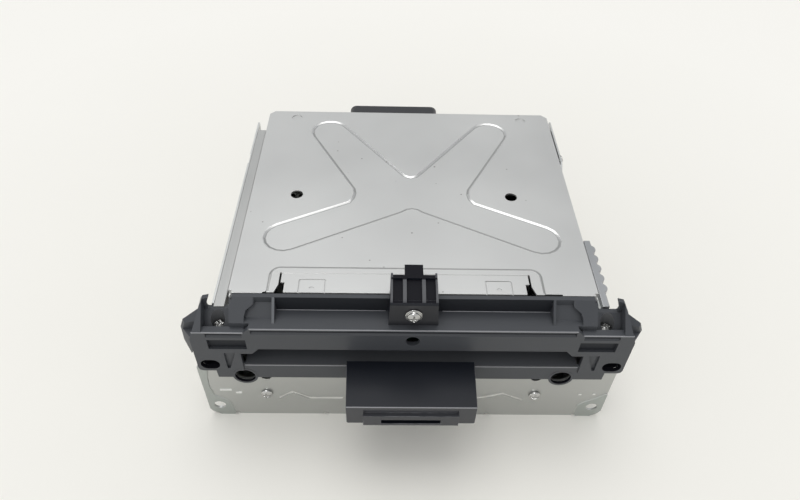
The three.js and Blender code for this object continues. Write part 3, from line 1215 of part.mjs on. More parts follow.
function clampArmSolid() {
  const { halfRear, tipRadius, earHeight, earHalf } = clampArm;
  const level = armLevel;
  const shape = new THREE.Shape();
  const rearEdge = hingeY - clampArm.pin - sheet;
  shape.moveTo(halfRear, rearEdge);
  shape.lineTo(halfRear, rearEdge - clampArm.shoulder);
  shape.lineTo(tipRadius, discY);
  shape.absarc(0, discY, tipRadius, 0, -Math.PI, true);
  shape.lineTo(-halfRear, rearEdge - clampArm.shoulder);
  shape.lineTo(-halfRear, rearEdge);
  const parts = [prism(shape, 'z', level, level + sheet)];
  for (const x of [-halfRear, halfRear - sheet]) {
    parts.push(block(x, x + sheet, hingeY - earHalf, hingeY + earHalf, hingeZ - earHeight,
        hingeZ + earHeight));
  }
  parts.push(block(-clampArm.ribHalf, clampArm.ribHalf, discY + clampArm.ribStart, hingeY - clampArm.ribEnd,
    level, level + sheet + clampArm.ribRise));
  return cutAll(join(parts), [
    rod(clampArm.neckHole, 'z', level - overrun, level + sheet + overrun, 0, discY),
    rod(clampArm.pin + clampArm.pinClear, 'x', -halfRear - overrun, halfRear + overrun, hingeY, hingeZ,
        smallSides),
  ]);
}

const clampHingePin = () => rod(clampArm.pin, 'x', -deck.hingeX - sheet, deck.hingeX + sheet, hingeY, hingeZ,
  smallSides);

function clampPuck() {
  const { radius, thick, recess, recessDepth, neck, cap, capThick } = puck;
  const low = puckLow;
  const capLow = armLevel + sheet + gap;
  return turned([
    [0, low + recessDepth], [recess, low + recessDepth], [recess, low], [radius, low], [radius, low + thick],
    [neck, low + thick], [neck, capLow], [cap, capLow], [cap, capLow + capThick], [0, capLow + capThick]],
        'z', 0, discY);
}

// The whole radio

const radio = new THREE.Group();
const front = new THREE.Group();
front.position.x = frontShift;
const discDeck = new THREE.Group();
discDeck.position.x = deckX;

const sinkScrew = (z) => panScrew('x', sink.start + sink.screwFront, z,
    tub.right + seat + sink.base + seat, 1,
  sink.base + screw.length);
const coverScrew = (x) => panScrew('y', x, cover.screwZ, cover.rear + seat, 1, screw.length);
const boardScrew = ([x, y]) => panScrew('z', x, y, boardTop + seat, 1, board.low - sheet);
const plateScrew = (x) => panScrew('y', x, plate.screwZ, plateFront - seat, -1, screw.length);
const earScrew = (side) => panScrew('z', side * (ear.half - ear.screwIn), ear.screwY,
    ear.screwSeat + seat, 1,
  ear.screwLength, ear.screwHead);
const towerScrew = () => panScrew('y', tower.x, tower.screwZ, tower.front - seat, -1,
    bar.rimRear - tower.front,
  screw.headRadius, true);

radio.add(
  piece('top_cover', topCover(), steel()),
  piece('cover_screw_left', coverScrew(-cover.screwX), bright()),
  piece('cover_screw_right', coverScrew(cover.screwX), bright()),
  piece('cover_screw_side', panScrew(
    'x', cover.sideScrewY, cover.sideScrewZ, tub.right + seat, 1, screw.length), bright()),
  piece('chassis_tub', chassisTub(), steel()),
  piece('heat_sink', heatSink(), aluminium()),
  piece('heat_sink_screw_low', sinkScrew(sink.low + sink.screwInset), bright()),
  piece('heat_sink_screw_high', sinkScrew(sink.high - sink.screwInset), bright()),
  piece('main_socket', mainSocket(), blackMoulding()),
  piece('signal_pins', signalPins(), brassy()),
  piece('power_blades', powerBlades(), brassy()),
  piece('socket_board', socketBoard(), boardGreen()),
  piece('aerial_socket', aerialSocket(), darkMoulding()),
  piece('main_board', mainBoard(), boardGreen()),
  piece('board_screw_left', boardScrew(boardCorners()[0]), bright()),
  piece('board_screw_right', boardScrew(boardCorners()[1]), bright()),
  piece('power_amplifier', powerAmp(), darkMoulding()),
  piece('filter_capacitor_front', filterCapacitor(0), darkMoulding()),
  piece('filter_capacitor_rear', filterCapacitor(1), darkMoulding()),
  piece('tuner_can', tunerCanSolid(), bright()),
  piece('control_chip', controlChip(0), darkMoulding()),
  piece('sound_chip', controlChip(1), darkMoulding()),
  piece('front_bracket', frontBracket(), blackMoulding()),
  piece('ear_screw_left', earScrew(-1), bright()),
  piece('ear_screw_right', earScrew(1), bright()),
  piece('clip_tower', clipTower(), darkMoulding()),
  piece('tower_screw', towerScrew(), bright()),
  piece('slot_felt', slotFelt(), rubber()),
);

front.add(
  piece('front_plate', frontPlate(), steel()),
  piece('front_plate_screw_left', plateScrew(plate.screwLeft), bright()),
  piece('front_plate_screw_right', plateScrew(plate.screwRight), bright()),
  piece('connector_housing', connectorHousing(), darkMoulding()),
  piece('connector_contacts', connectorContacts(), brassy()),
);

discDeck.add(
  piece('left_deck_rail', deckRail(-1), steel()),
  piece('right_deck_rail', deckRail(1), steel()),
  piece('deck_frame', deckFrame(), steel()),
  piece('roller_shaft', rollerShaft(), bright()),
  piece('load_roller', loadRoller(), rubber()),
  piece('roller_gear', rollerGear(), whiteMoulding()),
  piece('middle_gear', middleGearSolid(), whiteMoulding()),
  piece('motor_pinion', motorPinion(), brassy()),
  piece('load_motor', loadMotorSolid(), bright()),
  piece('spindle_motor', spindleMotor(), bright()),
  piece('turntable', turntable(), darkMoulding()),
  piece('pickup_sled', pickupSled(), darkMoulding()),
  piece('objective_lens', objectiveLens(), bright()),
  piece('guide_rod_left', guideRod(-sled.rodX), bright()),
  piece('guide_rod_right', guideRod(sled.rodX), bright()),
  piece('lead_screw', leadScrewSolid(), bright()),
  piece('sled_motor', sledMotor(), bright()),
  piece('clamp_arm', clampArmSolid(), steel()),
  piece('clamp_hinge_pin', clampHingePin(), bright()),
  piece('clamp_puck', clampPuck(), darkMoulding()),
);
const damperNames = ['front_left_damper', 'front_right_damper', 'rear_left_damper', 'rear_right_damper'];
damperNames.forEach((name, i) => {
  const mesh = piece(name, damperSolid(), rubber());
  mesh.position.set(i % 2 ? damper.offset : -damper.offset, i < 2 ? damper.front : damper.rear, 0);
  discDeck.add(mesh);
});
radio.add(front, discDeck);

// The origin is the middle of the underside
const frontMost = box.noseFront;
radio.position.y = -(frontMost + socket.rear) / 2;
const model = new THREE.Group();
model.add(radio);

export default model;
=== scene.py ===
# The body of a car radio without its front panel, dressed on its CAD frame
import json
import math
import bmesh
import bpy
from mathutils import Matrix, Vector

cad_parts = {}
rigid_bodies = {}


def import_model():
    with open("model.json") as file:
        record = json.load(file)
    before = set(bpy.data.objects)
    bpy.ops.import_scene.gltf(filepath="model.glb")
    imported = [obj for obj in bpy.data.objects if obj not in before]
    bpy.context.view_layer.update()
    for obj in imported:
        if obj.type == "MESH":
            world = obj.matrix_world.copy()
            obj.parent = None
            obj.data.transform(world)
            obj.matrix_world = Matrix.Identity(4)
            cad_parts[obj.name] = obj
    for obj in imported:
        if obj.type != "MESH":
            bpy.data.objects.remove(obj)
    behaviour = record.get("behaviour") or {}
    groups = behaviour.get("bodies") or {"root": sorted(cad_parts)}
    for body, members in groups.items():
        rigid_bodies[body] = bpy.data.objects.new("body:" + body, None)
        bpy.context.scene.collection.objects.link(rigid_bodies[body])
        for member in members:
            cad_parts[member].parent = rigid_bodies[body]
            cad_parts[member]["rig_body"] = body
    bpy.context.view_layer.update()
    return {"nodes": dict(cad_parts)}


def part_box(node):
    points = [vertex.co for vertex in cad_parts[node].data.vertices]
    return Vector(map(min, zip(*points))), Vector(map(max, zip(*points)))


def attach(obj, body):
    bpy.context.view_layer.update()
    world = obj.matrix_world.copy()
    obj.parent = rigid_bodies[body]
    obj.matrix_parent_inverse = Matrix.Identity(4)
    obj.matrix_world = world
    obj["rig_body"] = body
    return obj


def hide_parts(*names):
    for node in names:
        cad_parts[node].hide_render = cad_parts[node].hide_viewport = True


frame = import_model()
nodes = frame["nodes"]

# Camera at the photo's angle, with the lens worked out from its parallel edges
camera = {
    "lens": 29.3,
    "sensor": 36,
    "nearest": 0.01,
    "place": (-0.0133, -0.25535, 0.2998),
    "right": (0.99968, -0.00772, 0.02423),
    "up": (-0.01171, 0.70602, 0.7081),
}


def makeCamera():
    data = bpy.data.cameras.new("photoCamera")
    data.sensor_width = camera["sensor"]
    data.lens = camera["lens"]
    data.clip_start = camera["nearest"]
    item = bpy.data.objects.new("photoCamera", data)
    bpy.context.scene.collection.objects.link(item)
    right = Vector(camera["right"]).normalized()
    back = right.cross(Vector(camera["up"])).normalized()
    up = back.cross(right)
    turn = Matrix((right, up, back)).transposed().to_4x4()
    item.matrix_world = Matrix.Translation(camera["place"]) @ turn
    bpy.context.scene.camera = item


makeCamera()
print("camera placed")


# Shared shader groups

def newGroup(name, inputs, outputs):
    group = bpy.data.node_groups.new(name, "ShaderNodeTree")
    for label, kind, value in inputs:
        socket = group.interface.new_socket(label, in_out="INPUT", socket_type=kind)
        socket.default_value = value
    for label, kind in outputs:
        group.interface.new_socket(label, in_out="OUTPUT", socket_type=kind)
    enter = group.nodes.new("NodeGroupInput")
    leave = group.nodes.new("NodeGroupOutput")
    return group, enter, leave


def addNode(tree, kind, values=None, **settings):
    made = tree.nodes.new(kind)
    for key, value in settings.items():
        setattr(made, key, value)
    for key, value in (values or {}).items():
        made.inputs[key].default_value = value
    return made


def makeGrainGroup():  # fine moulded or plated grain as a height, and slow changes of tone
    group, enter, leave = newGroup(
        "surfaceGrain",
        [("Vector", "NodeSocketVector", (0, 0, 0)), ("Scale", "NodeSocketFloat", 900.0)],
        [("Height", "NodeSocketFloat"), ("Patches", "NodeSocketFloat")])
    fine = addNode(group, "ShaderNodeTexNoise", {"Detail": 3.0, "Roughness": 0.6})
    broad = addNode(group, "ShaderNodeTexNoise", {"Scale": 16.0, "Detail": 3.0, "Roughness": 0.5})
    link = group.links.new
    link(enter.outputs["Vector"], fine.inputs["Vector"])
    link(enter.outputs["Scale"], fine.inputs["Scale"])
    link(enter.outputs["Vector"], broad.inputs["Vector"])
    link(fine.outputs["Fac"], leave.inputs["Height"])
    link(broad.outputs["Fac"], leave.inputs["Patches"])
    return group


def makeRubAndHighlightGroup():  # how far a rounded edge is lightened, in patches: rubbed wear and painted highlight
    group, enter, leave = newGroup(
        "edgeRubAndHighlight",
        [("Vector", "NodeSocketVector", (0, 0, 0)), ("Amount", "NodeSocketFloat", 1.0)],
        [("Mask", "NodeSocketFloat")])
    breakUp = addNode(group, "ShaderNodeTexNoise", {"Scale": 190.0, "Detail": 3.0})
    widen = addNode(group, "ShaderNodeMapRange", {"From Min": 0.36, "From Max": 0.62, "To Min": 0.25})
    scaled = addNode(group, "ShaderNodeMath", operation="MULTIPLY", use_clamp=True)
    link = group.links.new
    link(enter.outputs["Vector"], breakUp.inputs["Vector"])
    link(breakUp.outputs["Fac"], widen.inputs["Value"])
    link(widen.outputs["Result"], scaled.inputs[0])
    link(enter.outputs["Amount"], scaled.inputs[1])
    link(scaled.outputs[0], leave.inputs["Mask"])
    return group


def makeScuffGroup():  # long thin scratches, as a mask
    group, enter, leave = newGroup(
        "thinScuffs",
        [("Vector", "NodeSocketVector", (0, 0, 0)), ("Amount", "NodeSocketFloat", 1.0)],
        [("Mask", "NodeSocketFloat")])
    stretch = addNode(group, "ShaderNodeMapping", {"Rotation": (0, 0, 0.7), "Scale": (260, 14, 40)})
    noise = addNode(group, "ShaderNodeTexNoise", {"Scale": 1.6, "Detail": 2.0})
    ramp = addNode(group, "ShaderNodeMapRange", {"From Min": 0.7, "From Max": 0.77})
    scaled = addNode(group, "ShaderNodeMath", operation="MULTIPLY", use_clamp=True)
    link = group.links.new
    link(enter.outputs["Vector"], stretch.inputs["Vector"])
    link(stretch.outputs["Vector"], noise.inputs["Vector"])
    link(noise.outputs["Fac"], ramp.inputs["Value"])
    link(ramp.outputs["Result"], scaled.inputs[0])
    link(enter.outputs["Amount"], scaled.inputs[1])
    link(scaled.outputs[0], leave.inputs["Mask"])
    return group


def makeSpeckGroup():  # sparse specks of dirt, some 0.3 to 0.8 mm across, as a mask
    group, enter, leave = newGroup(
        "dirtSpecks",
        [("Vector", "NodeSocketVector", (0, 0, 0)), ("Amount", "NodeSocketFloat", 1.0)],
        [("Mask", "NodeSocketFloat")])
    cells = addNode(group, "ShaderNodeTexVoronoi", {"Scale": 150.0, "Randomness": 1.0})
    split = addNode(group, "ShaderNodeSeparateColor")
    chosen = addNode(group, "ShaderNodeMapRange", {"From Min": 0.62, "From Max": 1.0, "To Max": 0.1})
    inside = addNode(group, "ShaderNodeMath", operation="SUBTRACT")
    soft = addNode(group, "ShaderNodeMapRange", {"From Min": 0.0, "From Max": 0.03})
    scaled = addNode(group, "ShaderNodeMath", operation="MULTIPLY", use_clamp=True)
    link = group.links.new
    link(enter.outputs["Vector"], cells.inputs["Vector"])
    link(cells.outputs["Color"], split.inputs["Color"])
    link(split.outputs["Red"], chosen.inputs["Value"])
    link(chosen.outputs["Result"], inside.inputs[0])
    link(cells.outputs["Distance"], inside.inputs[1])
    link(inside.outputs[0], soft.inputs["Value"])
    link(soft.outputs["Result"], scaled.inputs[0])
    link(enter.outputs["Amount"], scaled.inputs[1])
    link(scaled.outputs[0], leave.inputs["Mask"])
    return group


grainGroup = makeGrainGroup()
rubAndHighlightGroup = makeRubAndHighlightGroup()
scuffGroup = makeScuffGroup()
speckGroup = makeSpeckGroup()

# Finishes: what a user would change for each. Those with an edge colour also get a lighter variant for rounded
# edges, partly rubbed wear and partly painted highlight
finishes = {
    "coverZinc": {
        "low": (0.53, 0.532, 0.525), "high": (0.63, 0.635, 0.625), "rough": (0.42, 0.5), "metal": 0.9,
        "grain": 1500, "bump": 0.03, "edge": (0.7, 0.7, 0.69), "edgeAmount": 0.5, "scuffs": 0.2,
        "dirt": (0.2, 0.19, 0.18), "specks": 0.8},
    "caseZinc": {
        "low": (0.58, 0.59, 0.58), "high": (0.64, 0.65, 0.64), "rough": (0.38, 0.5), "metal": 0.9,
        "grain": 1500, "bump": 0.035, "edge": (0.78, 0.78, 0.77), "edgeAmount": 0.5, "scuffs": 0.25,
        "dirt": (0.2, 0.2, 0.19), "specks": 0.4},
    "plateZinc": {
        "low": (0.455, 0.467, 0.455), "high": (0.505, 0.508, 0.495), "rough": (0.32, 0.44), "metal": 0.9,
        "grain": 1500, "bump": 0.03, "edge": (0.72, 0.72, 0.7), "edgeAmount": 0.5, "scuffs": 0.3,
        "dirt": (0.18, 0.18, 0.17), "specks": 0.4},
    "sinkMetal": {
        "low": (0.36, 0.37, 0.38), "high": (0.42, 0.43, 0.44), "rough": (0.35, 0.48), "metal": 0.9,
        "grain": 1200, "bump": 0.05, "edge": (0.6, 0.6, 0.6), "edgeAmount": 0.6, "scuffs": 0.2,
        "dirt": (0.15, 0.15, 0.15), "specks": 0.3},
    "bracketMoulding": {
        "low": (0.051, 0.055, 0.063), "high": (0.057, 0.061, 0.069), "rough": (0.4, 0.46), "metal": 0.0,
        "shine": 0.4, "grain": 3000, "bump": 0.1, "edge": (0.26, 0.265, 0.28), "edgeAmount": 0.7,
        "scuffs": 0.1, "dirt": (0.12, 0.115, 0.11), "specks": 0.12},
    "blackMoulding": {
        "low": (0.007, 0.009, 0.014), "high": (0.009, 0.011, 0.017), "rough": (0.34, 0.4), "metal": 0.0,
        "shine": 0.28, "grain": 3000, "bump": 0.06, "edge": (0.2, 0.205, 0.22), "edgeAmount": 0.8,
        "scuffs": 0.14, "dirt": (0.09, 0.09, 0.09), "specks": 0.15},
    "softRubber": {
        "low": (0.016, 0.016, 0.017), "high": (0.026, 0.026, 0.027), "rough": (0.7, 0.85), "metal": 0.0,
        "grain": 900, "bump": 0.15, "edge": (0.06, 0.06, 0.06), "edgeAmount": 0.4, "scuffs": 0.0,
        "dirt": (0.1, 0.1, 0.1), "specks": 0.3},
    "slotFelt": {
        "low": (0.026, 0.028, 0.031), "high": (0.05, 0.053, 0.057), "rough": (0.9, 0.98), "metal": 0.0,
        "grain": 3800, "bump": 0.7, "edge": (0.04, 0.04, 0.04), "edgeAmount": 0.2, "scuffs": 0.0,
        "dirt": (0.12, 0.12, 0.12), "specks": 0.4},
    "gearMoulding": {
        "low": (0.66, 0.63, 0.55), "high": (0.71, 0.69, 0.61), "rough": (0.38, 0.48), "metal": 0.0,
        "grain": 1600, "bump": 0.04, "edge": (0.8, 0.78, 0.7), "edgeAmount": 0.3, "scuffs": 0.0,
        "dirt": (0.3, 0.27, 0.2), "specks": 0.3},
    "screwSteel": {
        "low": (0.42, 0.42, 0.41), "high": (0.52, 0.52, 0.51), "rough": (0.2, 0.3), "metal": 1.0,
        "grain": 2000, "bump": 0.03, "edge": (0.85, 0.85, 0.84), "edgeAmount": 0.6, "scuffs": 0.2,
        "dirt": (0.2, 0.19, 0.17), "specks": 0.3},
    "contactBrass": {
        "low": (0.62, 0.45, 0.18), "high": (0.72, 0.54, 0.24), "rough": (0.22, 0.32), "metal": 1.0,
        "grain": 1800, "bump": 0.03, "edge": (0.85, 0.7, 0.4), "edgeAmount": 0.4, "scuffs": 0.1,
        "dirt": (0.3, 0.2, 0.08), "specks": 0.2},
    "boardLaminate": {
        "low": (0.012, 0.09, 0.035), "high": (0.018, 0.12, 0.046), "rough": (0.3, 0.4), "metal": 0.0,
        "grain": 1400, "bump": 0.03, "edge": (0.2, 0.26, 0.12), "edgeAmount": 0.3, "scuffs": 0.0,
        "dirt": (0.12, 0.16, 0.1), "specks": 0.3},
    # darker zinc laid along the foot of the cover's pressed slopes: painted shade in the crease
    "creaseShade": {
        "low": (0.32, 0.325, 0.32), "high": (0.4, 0.405, 0.4), "rough": (0.5, 0.6), "metal": 0.8,
        "grain": 1500, "bump": 0.03, "scuffs": 0.0,
        "dirt": (0.2, 0.19, 0.18), "specks": 0.6},
    "shadedMoulding": {
        "low": (0.014, 0.016, 0.02), "high": (0.018, 0.02, 0.025), "rough": (0.5, 0.56), "metal": 0.0,
        "shine": 0.25, "grain": 3000, "bump": 0.1, "scuffs": 0.0,
        "dirt": (0.12, 0.115, 0.11), "specks": 0.12},
    # a lighter copy of the black moulding for the connector box's front: painted light where it faces the
    # bright floor
    "litFrontMoulding": {
        "low": (0.036, 0.038, 0.044), "high": (0.04, 0.042, 0.049), "rough": (0.44, 0.5), "metal": 0.0,
        "grain": 3000, "bump": 0.1, "scuffs": 0.1,
        "dirt": (0.12, 0.115, 0.11), "specks": 0.12},
    # pale moulding for the thin lips along front edges: painted highlight
    "lipHighlightMoulding": {
        "low": (0.2, 0.205, 0.22), "high": (0.3, 0.305, 0.32), "rough": (0.32, 0.4), "metal": 0.0,
        "grain": 3000, "bump": 0.05, "scuffs": 0.1,
        "dirt": (0.12, 0.115, 0.11), "specks": 0.2},
    # a lighter copy of the bracket moulding for the insides of the ear screw wells: painted light that lifts
    # their shade
    "litWellMoulding": {
        "low": (0.16, 0.163, 0.17), "high": (0.18, 0.183, 0.19), "rough": (0.5, 0.56), "metal": 0.0,
        "grain": 3000, "bump": 0.05, "scuffs": 0.0,
        "dirt": (0.12, 0.115, 0.11), "specks": 0.1},
    # a much lighter copy of the bracket moulding: painted highlight on the rib at the left end of the gutter
    "ledgeMoulding": {
        "low": (0.11, 0.118, 0.13), "high": (0.125, 0.133, 0.146), "rough": (0.5, 0.56), "metal": 0.0,
        "grain": 3000, "bump": 0.05, "scuffs": 0.1,
        "dirt": (0.16, 0.155, 0.15), "specks": 0.2},
    # a lighter copy of the bracket moulding for the slot floor under the bar: painted light that lifts the
    # shade there
    "litSlotFloorMoulding": {
        "low": (0.085, 0.09, 0.099), "high": (0.095, 0.1, 0.11), "rough": (0.5, 0.56), "metal": 0.0,
        "grain": 3000, "bump": 0.05, "scuffs": 0.1,
        "dirt": (0.16, 0.155, 0.15), "specks": 0.2},
    # a darker, greener copy of the plate's zinc for the corner pads: painted shade
    "shadedPadZinc": {
        "low": (0.385, 0.412, 0.395), "high": (0.44, 0.462, 0.447), "rough": (0.36, 0.46), "metal": 0.9,
        "grain": 1500, "bump": 0.03, "scuffs": 0.2,
        "dirt": (0.25, 0.25, 0.24), "specks": 0.3},
    # a lighter copy of the black moulding for the tower's ribs and the box's recess: painted light
    "towerRib": {
        "low": (0.05, 0.052, 0.06), "high": (0.06, 0.062, 0.07), "rough": (0.4, 0.46), "metal": 0.0,
        "grain": 3000, "bump": 0.05, "scuffs": 0.1,
        "dirt": (0.12, 0.115, 0.11), "specks": 0.1},
    # near-white copy of the plate's zinc for its short pressed dashes: painted highlight
    "highlightZinc": {
        "low": (0.8, 0.8, 0.78), "high": (0.9, 0.9, 0.88), "rough": (0.4, 0.5), "metal": 0.5,
        "grain": 1500, "bump": 0.03, "scuffs": 0.2,
        "dirt": (0.3, 0.3, 0.29), "specks": 0.2},
    # a darker copy of the screw steel for the ear screws, which sit in shade: painted shade
    "shadedScrewSteel": {
        "low": (0.22, 0.22, 0.215), "high": (0.3, 0.3, 0.29), "rough": (0.28, 0.38), "metal": 1.0,
        "grain": 2000, "bump": 0.03, "edge": (0.6, 0.6, 0.6), "edgeAmount": 0.5, "scuffs": 0.2,
        "dirt": (0.1, 0.1, 0.1), "specks": 0.3},
    # the main socket's moulding, also laid on the tower's front faces as painted light
    "socketAndLitTowerFront": {
        "low": (0.018, 0.019, 0.023), "high": (0.021, 0.022, 0.026), "rough": (0.4, 0.46), "metal": 0.0,
        "grain": 3000, "bump": 0.08, "edge": (0.12, 0.125, 0.13), "edgeAmount": 0.5, "scuffs": 0.1,
        "dirt": (0.1, 0.1, 0.1), "specks": 0.12},
    # near black with little shine for holes, bores, the ear pockets and the tower's top: painted shade
    "deepShadeMoulding": {
        "low": (0.005, 0.005, 0.008), "high": (0.007, 0.007, 0.011), "rough": (0.5, 0.6), "metal": 0.0,
        "shine": 0.12, "grain": 3000, "bump": 0.05, "scuffs": 0.0,
        "dirt": (0.06, 0.06, 0.06), "specks": 0.1},
    "wallZinc": {
        "low": (0.44, 0.443, 0.435), "high": (0.5, 0.503, 0.495), "rough": (0.42, 0.5), "metal": 0.9,
        "grain": 1500, "bump": 0.03, "scuffs": 0.2,
        "dirt": (0.25, 0.24, 0.23), "specks": 0.3},
    "chipResin": {
        "low": (0.02, 0.02, 0.022), "high": (0.028, 0.028, 0.03), "rough": (0.45, 0.58), "metal": 0.0,
        "grain": 2400, "bump": 0.1, "edge": (0.1, 0.1, 0.1), "edgeAmount": 0.3, "scuffs": 0.0,
        "dirt": (0.12, 0.12, 0.12), "specks": 0.2},
}


def opaque(colour):
    return (*colour, 1.0)


edgePolish = 0.6  # rounded edges are rubbed smoother than the faces
plainShine = 0.5
scuffRoughness = 0.15


def makeFinish(name, onEdges):  # the edge variant goes on the faces that rounding adds
    finish = finishes[name]
    material = bpy.data.materials.new(name + "Edge" if onEdges else name)
    material.use_nodes = True
    tree = material.node_tree
    shader = tree.nodes["Principled BSDF"]
    shader.inputs["Metallic"].default_value = finish["metal"]
    shader.inputs["Specular IOR Level"].default_value = finish.get("shine", plainShine)
    place = addNode(tree, "ShaderNodeTexCoord")
    grain = addNode(tree, "ShaderNodeGroup", node_tree=grainGroup)
    grain.inputs["Scale"].default_value = finish["grain"]
    edge = addNode(tree, "ShaderNodeGroup", node_tree=rubAndHighlightGroup) if onEdges else None
    scuff = addNode(tree, "ShaderNodeGroup", node_tree=scuffGroup)
    scuff.inputs["Amount"].default_value = finish["scuffs"]
    speck = addNode(tree, "ShaderNodeGroup", node_tree=speckGroup)
    speck.inputs["Amount"].default_value = finish["specks"]
    tint = addNode(tree, "ShaderNodeMix", data_type="RGBA")
    tint.inputs["A"].default_value = opaque(finish["low"])
    tint.inputs["B"].default_value = opaque(finish["high"])
    soil = addNode(tree, "ShaderNodeMix", data_type="RGBA")
    soil.inputs["B"].default_value = opaque(finish["dirt"])
    polish = edgePolish if onEdges else 1
    rough = addNode(tree, "ShaderNodeMapRange", {
        "From Min": 0.3, "From Max": 0.7,
        "To Min": finish["rough"][0] * polish, "To Max": finish["rough"][1] * polish})
    roughen = addNode(tree, "ShaderNodeMath", operation="MULTIPLY_ADD", use_clamp=True)
    roughen.inputs[1].default_value = scuffRoughness
    bump = addNode(tree, "ShaderNodeBump", {"Strength": finish["bump"], "Distance": 0.0002})
    link = tree.links.new
    for group in (grain, scuff, speck):
        link(place.outputs["Object"], group.inputs["Vector"])
    link(grain.outputs["Patches"], tint.inputs["Factor"])
    link(tint.outputs["Result"], soil.inputs["A"])
    link(speck.outputs["Mask"], soil.inputs["Factor"])
    if edge:
        edge.inputs["Amount"].default_value = finish["edgeAmount"]
        # the edge colour mixed in on rounded edges is partly rubbed wear and partly painted highlight
        rubAndHighlight = addNode(tree, "ShaderNodeMix", data_type="RGBA")
        rubAndHighlight.inputs["B"].default_value = opaque(finish["edge"])
        link(place.outputs["Object"], edge.inputs["Vector"])
        link(soil.outputs["Result"], rubAndHighlight.inputs["A"])
        link(edge.outputs["Mask"], rubAndHighlight.inputs["Factor"])
        link(rubAndHighlight.outputs["Result"], shader.inputs["Base Color"])
    else:
        link(soil.outputs["Result"], shader.inputs["Base Color"])
    link(grain.outputs["Patches"], rough.inputs["Value"])
    link(scuff.outputs["Mask"], roughen.inputs[0])
    link(rough.outputs["Result"], roughen.inputs[2])
    link(roughen.outputs[0], shader.inputs["Roughness"])
    link(grain.outputs["Height"], bump.inputs["Height"])
    link(bump.outputs["Normal"], shader.inputs["Normal"])
    return material


materials = {name: makeFinish(name, False) for name in finishes}
edgeMaterials = {name: makeFinish(name, True) for name, finish in finishes.items() if "edge" in finish}
print("finishes made")


# Pieces that keep the CAD form and get worked edges

edgeWork = {  # node: (finish, edge radius in metres)
    "top_cover": ("coverZinc", 0.0003),
    "chassis_tub": ("caseZinc", 0.0002),
    "front_plate": ("plateZinc", 0.0002),
    "front_bracket": ("bracketMoulding", 0.0003),
    "clip_tower": ("blackMoulding", 0.0003),
    "connector_housing": ("blackMoulding", 0.0004),
    "heat_sink": ("sinkMetal", 0.0003),
    "main_socket": ("socketAndLitTowerFront", 0.0004),
    "aerial_socket": ("blackMoulding", 0.0003),
    "cover_screw_left": ("screwSteel", 0.00025),
    "cover_screw_right": ("screwSteel", 0.00025),
    "cover_screw_side": ("screwSteel", 0.00025),
    "heat_sink_screw_low": ("screwSteel", 0.00025),
    "heat_sink_screw_high": ("screwSteel", 0.00025),
    "front_plate_screw_left": ("screwSteel", 0.00025),
    "front_plate_screw_right": ("screwSteel", 0.00025),
    # the ear screws get painted shade
    "ear_screw_left": ("shadedScrewSteel", 0.00025),
    "ear_screw_right": ("shadedScrewSteel", 0.00025),
    "tower_screw": ("screwSteel", 0.00025),
    "board_screw_left": ("screwSteel", 0.00025),
    "board_screw_right": ("screwSteel", 0.00025),
    "signal_pins": ("contactBrass", 0.00015),
    "power_blades": ("contactBrass", 0.00015),
    "connector_contacts": ("contactBrass", 0.0001),
    "socket_board": ("boardLaminate", 0.0001),
    "main_board": ("boardLaminate", 0.0001),
    "power_amplifier": ("chipResin", 0.0003),
    "filter_capacitor_front": ("chipResin", 0.0003),
    "filter_capacitor_rear": ("chipResin", 0.0003),
    "tuner_can": ("screwSteel", 0.0003),
    "control_chip": ("chipResin", 0.0002),
    "sound_chip": ("chipResin", 0.0002),
    "slot_felt": ("slotFelt", 0.0001),
    "left_deck_rail": ("caseZinc", 0.0002),
    "right_deck_rail": ("caseZinc", 0.0002),
    "front_left_damper": ("softRubber", 0.0003),
    "front_right_damper": ("softRubber", 0.0003),
    "rear_left_damper": ("softRubber", 0.0003),
    "rear_right_damper": ("softRubber", 0.0003),
    "deck_frame": ("caseZinc", 0.0002),
    "roller_shaft": ("screwSteel", 0.0002),
    "load_roller": ("softRubber", 0.0002),
    "roller_gear": ("gearMoulding", 0.0001),
    "middle_gear": ("gearMoulding", 0.0001),
    "motor_pinion": ("contactBrass", 0.0001),
    "load_motor": ("screwSteel", 0.0004),
    "spindle_motor": ("screwSteel", 0.0004),
    "turntable": ("blackMoulding", 0.0003),
    "pickup_sled": ("blackMoulding", 0.0003),
    "objective_lens": ("screwSteel", 0.0001),
    "guide_rod_left": ("screwSteel", 0.0002),
    "guide_rod_right": ("screwSteel", 0.0002),
    "sled_motor": ("screwSteel", 0.0003),
    "clamp_arm": ("caseZinc", 0.0002),
    "clamp_hinge_pin": ("screwSteel", 0.0002),
    "clamp_puck": ("blackMoulding", 0.0003),
}
sharpTurn = math.radians(34)  # edges that turn more than this are worked


def mirrored(low, high):  # a region on the right side and its twin on the left
    return [(low, high), ((-high[0], low[1], low[2]), (-low[0], high[1], high[2]))]
